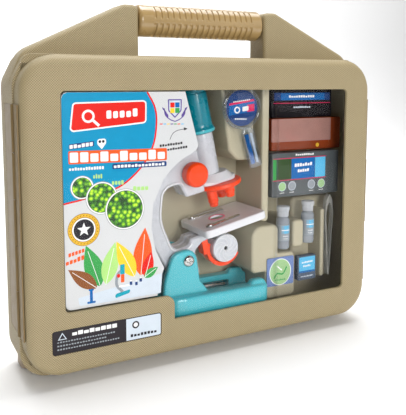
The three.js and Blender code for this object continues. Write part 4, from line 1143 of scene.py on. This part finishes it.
def stage():
    softened("stage", "scope_grey", RIM_LOOK, 0.5, 4)
    trimmed("stage_bracket", "scope_grey", GREY_LOOK, 0.3)
    trimmed("stage_clip_front", "steel", STEEL_LOOK, 0.15)
    trimmed("stage_clip_back", "steel", STEEL_LOOK, 0.15)
    ring = [(6.8, 24.9, 0), (8.6, 24.9, 0), (8.6, 25.3, 0.2), (6.8, 25.3, 0.2)]
    build("stage_ring", "scope_grey", "arm", (scope_turned(ring, TUBE_X), PINK))


def knurl(angle, corner):
    return 0.14 * cos(36 * angle) if 124 < corner.y < 128 else 0


def optics():
    steps = [
        (10.3, 113.9, 0.4), (14, 113.9, 0.6), (14.8, 115, 0.8), (14.8, 117.4, 0.8), (13.4, 120, 1),
        (13, 122, 1),
    ]
    steps += [(13, 153, 0.3), (12.4, 153.6, 0.3), (12.4, 154.6, 0.3), (13, 155.2, 0.3)]
    steps += [(13, 157.6, 1), (11, 160, 0.8), (10.3, 160, 0.3)]
    sleeve = scope_turned(steps, TUBE_X, segments=144, ripple=knurl)
    stand_in("eyepiece_sleeve", "teal", DEEP_TEAL_LOOK, sleeve)
    collar = [(13.2, 114.1, 0.2), (14.85, 114.6, 0.7), (14.85, 117.2, 0.7), (13.2, 119.8, 0.3)]
    build("sleeve_collar", "teal", "eyepiece", (scope_turned(collar, TUBE_X, segments=96), TEAL_LOOK))
    cap = [
        (6.4, 152, 0.3), (10, 152, 0.3), (10, 160.3, 0.2), (11.2, 160.3, 0.5), (11.2, 162.4, 0.8),
        (9.8, 163.6, 0.8), (6.4, 161.6, 0.6),
    ]
    stand_in("eyepiece_cap", "teal", DEEP_TEAL_LOOK, scope_turned(cap, TUBE_X, segments=96))
    frame["nodes"]["eye_lens"].data.materials[0] = LENS_LOOK
    tube_steps = [
        (9, 72.4, 0.3), (11.5, 72.4, 0.6), (11.5, 113.6, 0.6), (10, 113.6, 0.3), (10, 125.6, 0.5),
        (9, 125.6, 0.3),
    ]
    stand_in("body_tube", "scope_grey", GREY_LOOK, scope_turned(tube_steps, TUBE_X, segments=96))
    softened("turret_mount", "scope_grey", RIM_LOOK, 0.4, 6)
    trimmed("focus_rack", "orange", ORANGE_LOOK, 0.15)
    trimmed("turret_screw", "steel", STEEL_LOOK, 0.3)


def objective_place(angle):
    turn = radians(angle)
    return TURRET["x"] + TURRET["reach"] * cos(turn), TURRET["reach"] * sin(turn)


def finger_grips(angle, corner):
    return -0.25 * max(0, cos(30 * angle)) ** 2 if corner.x > 21.5 else 0


def turret():
    wheel = [
        (0, 55.5, 0), (19.5, 55.5, 1), (22, 57, 1.2), (22.5, 58.6, 1), (22.1, 60.6, 0.8), (20.9, 61.2, 0.6),
        (0, 61.2, 0),
    ]
    disc_piece = shape(
        "turret_disc_piece",
        (scope_turned(wheel, TURRET["x"], segments=180, ripple=finger_grips), ORANGE_LOOK),
    )
    holes = []
    for x, y, radius in [
        (TURRET["x"], 0, 2.3), *((*objective_place(angle), 3.6) for angle in (180, 60, -60)),
    ]:
        holes.append(moved(slab(disc(x, y, radius, 32), 50, 70, 0), SCOPE))
    carve(disc_piece, *holes)
    ride(smooth(disc_piece), "orange", "turret", "turret_disc")
    for node, angle, tip in (
        ("objective_high", 180, 37), ("objective_medium", 60, 41), ("objective_low", -60, 44.5),
    ):
        profile = [
            (2.6, tip, 0.2), (3.8, tip, 0.4), (4.5, tip + 1.2, 0.5), (4.5, tip + 4, 0.5),
            (5.3, tip + 5, 0.5),
        ]
        profile += [(5.3, tip + 7, 0.2), (4.9, tip + 7.4, 0.2), (4.9, tip + 8.2, 0.2), (5.3, tip + 8.6, 0.2)]
        profile += [(5.4, 55.2, 0.3), (2.6, 55.2, 0.2)]
        stand_in(node, "orange", ORANGE_LOOK, scope_turned(profile, *objective_place(angle), segments=48))


def knob_teeth(angle, corner):
    on_rim = corner.x > KNOB["radius"] - 0.3 and abs(abs(corner.y) - KNOB["middle"]) < 4.6
    return 0.22 * cos(48 * angle) if on_rim else 0


def focus_knobs():
    trimmed("focus_shaft", "steel", STEEL_LOOK, 0.15)
    radius = KNOB["radius"]
    for node, side in (("focus_knob_front", 1), ("focus_knob_back", -1)):
        profile = [
            (3.1, 14, 0), (radius - 0.2, 14, 0.7), (radius - 0.2, 15.4, 0.2), (radius - 0.2, 18, 0),
            (radius - 0.2, 21, 0), (radius - 0.2, 23.4, 1),
        ]
        profile += [
            (radius - 2.4, 26, 1.6), (radius - 5, 25.6, 1), (0, 25.3, 0), (0, 22.4, 0), (3.1, 22.4, 0),
        ]
        solid = scope_front(
            [(r, h * side, e) for r, h, e in profile], KNOB["x"], KNOB["z"], segments=192,
            ripple=knob_teeth,
        )
        stand_in(node, "orange", ORANGE_LOOK, solid)


def lamp():
    softened("lamp_drum", "scope_grey", GREY_LOOK, 0.4, 4)
    vanes = []
    for k in range(9):
        line = []
        for n in range(9):
            reach = 3 + 10.4 * n / 8
            angle = 2 * pi * k / 9 + 1.3 * n / 8
            line.append(
                Vector(
                    (
                        DRUM["x"] + reach * cos(angle), -DRUM["half"] - 0.05,
                        DRUM["z"] + reach * sin(angle),
                    )
                )
            )
        vanes.append((moved(tube(line, 0.42, 8), SCOPE), RIM_LOOK))
    for reach, thick in ((2.7, 0.5), (13.5, 0.5)):
        circle = [Vector((p.x, -DRUM["half"] - 0.05, p.y)) for p in disc(DRUM["x"], DRUM["z"], reach)]
        vanes.append((moved(tube(circle, thick, 8, closed=True), SCOPE), RIM_LOOK))
    build("drum_vanes", "scope_grey", "lamp", *vanes)
    trimmed("drum_mirror", "mirror", MIRROR_LOOK, 0.3)
    frame["nodes"]["lamp_bulb"].data.materials[0] = LENS_LOOK
    softened("lamp_cradle", "orange", ORANGE_LOOK, 0.35, 4)
    # the pin is coloured black as painted shade for the dark hole at the drum's centre
    trimmed("drum_pin", "steel", BLACK_PAINTED_SHADE_LOOK, 0.2)


# ---------------------------------------------------------------- accessories
def magnifier():
    x, z, radius = LENS["x"], LENS["z"], LENS["radius"]
    front, back = -LENS["front"], -LENS["back"]
    middle = (front + back) / 2
    ring = [
        (radius - 2.4, back, 0.4), (radius, back, 0.6), (radius, back + 1.6, 0.3),
        (radius - 0.7, middle, 0.3), (radius, front - 1.6, 0.3), (radius, front, 0.6),
        (radius - 2.4, front, 0.4),
    ]
    tilt = Matrix.Translation((x, 0, z)) @ Matrix.Rotation(radians(-LENS["lean"]), 4, "Y")
    grip = plate(
        rounded(
            [(-4.4, -20.4, 1), (-7, -25, 2), (-7, -62, 3), (7, -62, 3), (7, -25, 2), (4.4, -20.4, 1)], 6,
        ),
        LENS["front"], LENS["back"], 1.0,
    )
    clear_parts = [
        (turned_front(ring, x, z, segments=96), MOULDING_LOOK), (moved(grip, tilt), MOULDING_LOOK),
    ]
    strip = moved(
        plate(rect(-4.4, -58, 0.2, -27, 0.8, 4), LENS["front"] + 1.6, LENS["back"] - 1.6, 0.2), tilt,
    )
    # a pale strip inside the clear grip: a painted highlight on the handle
    painted_highlight_strip = moved(
        plate(rect(1.6, -58, 4.4, -27, 0.6, 4), LENS["front"] + 1.6, LENS["back"] - 1.6, 0.2), tilt,
    )
    stand_in("magnifier_frame", "clear_plastic", LENS_LOOK, *clear_parts, (strip, BLUE), (painted_highlight_strip, PALE))
    lens = [
        (0, back + 0.8, 0), (radius - 2.7, back + 0.8, 0.3), (radius - 2.7, front - 1.4, 0.3),
        (0, front - 0.8, 0),
    ]
    band = [(x - 14.6, 238.4), (x - 14.6, 228.6), (x + 14.6, 232.6), (x + 14.6, 242.6)]
    label = disc(x, z, radius - 3)
    low_band = [(x - 14.2, 240.6), (x - 14.6, 238.4), (x + 14.6, 242.6), (x + 13.6, 244.6)]
    layers = [
        (label, NAVY), (rounded([(*p, 0) for p in band], 1), BLUE, 2),
        (rounded([(*p, 0) for p in low_band], 1), MAGENTA, 2),
    ]
    layers += [
        (
            rounded([(x + 6, 231.8, 0), (x + 14.4, 232.9, 0), (x + 14.4, 240, 0), (x + 6, 239, 0)], 1),
            MAGENTA, 2.5,
        )
    ]
    layers += [
        (disc(x - 5.4, 234, 3.4), WHITE, 3), (disc(x - 5.4, 234, 2), BLUE, 4),
        (slanted(x + 0.6, 232.4, x + 7.6, 233.4, 4.6, 0.8), WHITE, 3),
    ]
    layers += dashes(x - 8, 224.6, x + 6, 224.2, 1.4, 6, 0.6, WHITE, 3)
    layers += dashes(x - 10, 241.2, x + 10, 243.6, 1.2, 9, 0.6, WHITE, 3)
    stand_in(
        "magnifier_lens", "clear_plastic", LENS_LOOK, turned_front(lens, x, z, segments=64),
        *printed(LENS["front"] + 2.2, layers),
    )


def printed_box(node, slot, look, layers, edge=1.0):
    low, high = (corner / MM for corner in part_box(node))
    outline = rect(low.x, low.z, high.x, high.z, 2)
    return stand_in(node, slot, look, (plate(outline, low.y, high.y, edge), look), *printed(low.y, layers))


def boxes():
    slide_box()
    specimen_box()
    slide_pack()
    label_box()
    sticker_card()


def slide_box():
    layers = [
        (rect(76, 242.6, 147, 250.4, 0.4, 3), NAVY), (rect(84, 243, 140, 250, 0.4, 3), BLUE, 2),
        (rect(75, 239.4, 148, 240, 0.1, 2), MAGENTA),
    ]
    layers += dashes(94, 245.4, 127, 245.4, 2.4, 11, 0.6, WHITE, 3)
    layers += dashes(100, 234.6, 122, 234.6, 1.8, 9, 0.5, PALE, 2)
    printed_box("slide_box", "dark_box", DARK_BOX_LOOK, layers)


def specimen_box():
    layers = [(disc(135, 194.4, 2.2), GOLD), (disc(96, 207.4, 4.6, 24, 3.2), MAGENTA)]
    layers += [(disc(102, 202.6, 8, 24, 1.4), PINK)]
    printed_box("specimen_box", "amber", AMBER_LOOK, layers)
    overlay = plate(rect(74.5, 199.5, 151, 223.5, 1.2), -13.2, -12.2, 0.3)
    build(
        "slide_overlay", "clear_plastic", "case",
        (overlay, frosted("overlay_plastic", rgb(206, 170, 160), 0.42)),
    )


def slide_pack():
    rows = [
        (rect(72, 182.8, 140, 183.5, 0.1, 2), MAGENTA), (rect(72, 160.2, 140, 160.9, 0.1, 2), MAGENTA),
        (rect(95, 161.2, 125, 182.5, 0.3, 2), BLUE),
    ]
    rows += [
        (rect(73, 161.2, 94.6, 182.5, 0.3, 2), MOSS), (rect(125.4, 161.2, 139, 182.5, 0.3, 2), SKY),
        (rect(72, 161.2, 76, 182.5, 0.3, 2), GREEN, 3),
    ]
    rows += dashes(99, 173.6, 122, 174.4, 3.4, 7, 0.7, WHITE, 2)
    rows += dashes(103, 167.6, 118, 168.2, 3.2, 5, 0.7, WHITE, 2)
    rows += dashes(100, 185.4, 124, 185.2, 2, 9, 0.6, WHITE)
    for x, look in ((83.6, PALE_GREEN), (96, GREY), (121, GREY), (134, PALE_GREEN)):
        rows += [
            (disc(x, 154, 4.8), PALE), (disc(x, 154, 4.3), look, 2),
            *dashes(x - 3, 147, x + 3, 147, 0.9, 4, 0.4, WHITE),
        ]
    printed_box("slide_pack", "pack_grey", PACK_LOOK, rows)


def label_box():
    layers = [
        (rect(107.6, 58.4, 128.4, 75.4, 0.6, 3), SKY), (rect(107.6, 58.4, 128.4, 60.4, 0.3, 2), BLUE, 2),
    ]
    layers += dashes(111, 68.6, 125.6, 69, 2, 7, 0.5, WHITE, 2)
    layers += dashes(113, 64.4, 123, 64.8, 2, 5, 0.5, WHITE, 2)
    layers += dashes(110, 53.6, 126, 53.6, 1.4, 8, 0.5, PALE)
    printed_box("label_box", "paper_blue", plastic("label_box_card", rgb(70, 84, 104), 0.45), layers)


def sticker_card():
    layers = [(disc(82, 64.4, 13.6, 64, 14.2), WHITE), (disc(82, 64.4, 12.8, 64, 13.4), PALE_GREEN, 2)]
    layers += [
        (stroke(curve_through([(74, 58), (78, 63), (85, 62), (90, 69)]), 1.6), GREEN, 3),
        (stroke(curve_through([(78, 71), (82, 67.5), (84, 66)]), 1.3), WHITE, 4),
    ]
    layers += dashes(75, 55.4, 89, 55.2, 1.6, 6, 0.6, GREEN, 3)
    printed_box("sticker_card", "paper_violet", VIOLET, layers, 0.3)


def bent_round(point, x):
    """A point of a flat print, moved back onto the round side of the vial at x."""
    reach = point.y - VIAL_Y
    depth = sqrt(max(0, reach**2 - (point.x - x) ** 2))
    return Vector((point.x, VIAL_Y + copysign(depth, reach), point.z))


def cap_ribs(angle, corner):
    return 0.18 * cos(24 * angle) if corner.x > 5.4 else 0


def vials():
    for index, x, z in VIALS:
        place = Matrix.Translation((x, VIAL_Y, 0))
        glass = [
            (0, z, 0), (6.2, z, 1), (7, z + 1.4, 0.8), (7, z + 31, 1.5), (5, z + 34, 0.6), (0, z + 34, 0),
        ]
        wrap = [(7.02, z + 9, 0), (7.12, z + 9, 0), (7.12, z + 26, 0), (7.02, z + 26, 0)]
        wrap_look = plastic(f"vial_label_{index}", rgb(150, 158, 166), 0.4)
        parts = [moved(turned(glass), place), (moved(turned(wrap), place), wrap_look)]
        blocks = []
        for k in range(10):
            left = x - 5 + 0.94 * k
            blocks.append((rect(left, z + 17, left + 0.94, z + 25.4, 0, 2), SKY))
            blocks.append((rect(left, z + 20, left + 0.94, z + 21, 0, 2), WHITE, 2))
        blocks += dashes(x - 3.6, z + 13.6, x + 2.6, z + 13.6, 1.2, 4, 0.5, WHITE)
        blocks += dashes(x - 3.6, z + 11, x + 1.6, z + 11, 1, 3, 0.5, WHITE)
        for (flat, faces), look in printed(-20.1, blocks):
            parts.append((([bent_round(v, x) for v in flat], faces), look))
        stand_in(f"vial_{index}", "vial_clear", VIAL_LOOK, *parts)
        cap = [
            (0, z + 34.3, 0), (5.6, z + 34.3, 0.3), (5.8, z + 40, 0.4), (6.6, z + 41, 0.4),
            (6.6, z + 45, 0.8), (0, z + 46, 0),
        ]
        cap_look = frosted(f"cap_{index}", rgb(214, 218, 224), 0.65)
        stand_in(f"vial_cap_{index}", "vial_clear", cap_look, moved(turned(cap, 96, ripple=cap_ribs), place))


def accessories():
    magnifier()
    boxes()
    vials()
    softened("tweezers", "steel", frosted("tweezer_plastic", rgb(196, 196, 190), 0.7), 0.35, 3)


# ---------------------------------------------------------------- studio
def studio():
    white, tree, place = started("studio_white")
    patches = noise(tree, place, 3, 2)
    tone = ramp(tree, patches, (0.0, (0.93, 0.93, 0.93, 1)), (1.0, (0.96, 0.96, 0.96, 1)))
    shader = add(tree, "ShaderNodeBsdfPrincipled", Base_Color=tone, Roughness=0.8)
    add(tree, "ShaderNodeOutputMaterial", Surface=shader.outputs[0])
    front, back, wide, high, bend = -1130, 1500, 2600, 2400, 500
    line = [(front, 0), (back, 0)]
    line += [
        (
            back + bend * sin(radians(a)), bend * (1 - cos(radians(a))),
        ) for a in range(10, 91, 10)
    ]
    line += [(back + bend, high)]
    rows = [[Vector((x, y, z - 0.05)) for y, z in line] for x in (-wide, wide)]
    count = len(line)
    faces = [(k, k + 1, count + k + 1, count + k) for k in range(count - 1)]
    sweep = shape("studio_sweep", (([*rows[0], *rows[1]], faces), white))
    smooth(sweep, 60)


def lamp_light(name, power, size, location, target):
    light = bpy.data.lights.new(name, "AREA")
    light.energy = power
    light.size = size
    made = linked(name, light)
    made.location = location
    made.rotation_euler = (Vector(target) - Vector(location)).to_track_quat("-Z", "Y").to_euler()


def lighting():
    """A white room as the camera sees it, dim in reflections, with soft lamps in front and above."""
    world = bpy.data.worlds.new("room")
    world.use_nodes = True
    tree = world.node_tree
    rays = add(tree, "ShaderNodeLightPath").outputs
    seen = between(tree, rays["Is Camera Ray"], 0.2, 1.0)
    lit = between(tree, rays["Is Glossy Ray"], 1.0, 0.12)
    background = tree.nodes["Background"]
    tree.links.new(math_node(tree, "MULTIPLY", seen, lit), background.inputs["Strength"])
    background.inputs["Color"].default_value = (1.0, 1.0, 1.0, 1)
    bpy.context.scene.world = world
    lamp_light("key", 25, 0.9, (-0.12, -2.0, 0.6), (0, 0, 0.12))
    lamp_light("fill", 5, 1.4, (1.3, -1.2, 0.8), (0, 0, 0.15))
    lamp_light("top", 16, 1.2, (0, 0.1, 1.9), (0, 0.0, 0.1))
    lamp_light("backdrop", 60, 2.2, (0.4, 0.7, 2.2), (0.6, 1.9, 0.6))


rear_shell()
lid_frame()
handle()
hinge_and_latch()
label_plate()
film()
printed_card()
inner_tray()
clear_blister()
scope_base()
arm()
stage()
optics()
turret()
focus_knobs()
lamp()
accessories()
studio()
lighting()
bpy.context.scene.view_settings.view_transform = "Standard"
bpy.context.scene.cycles.transparent_max_bounces = 40
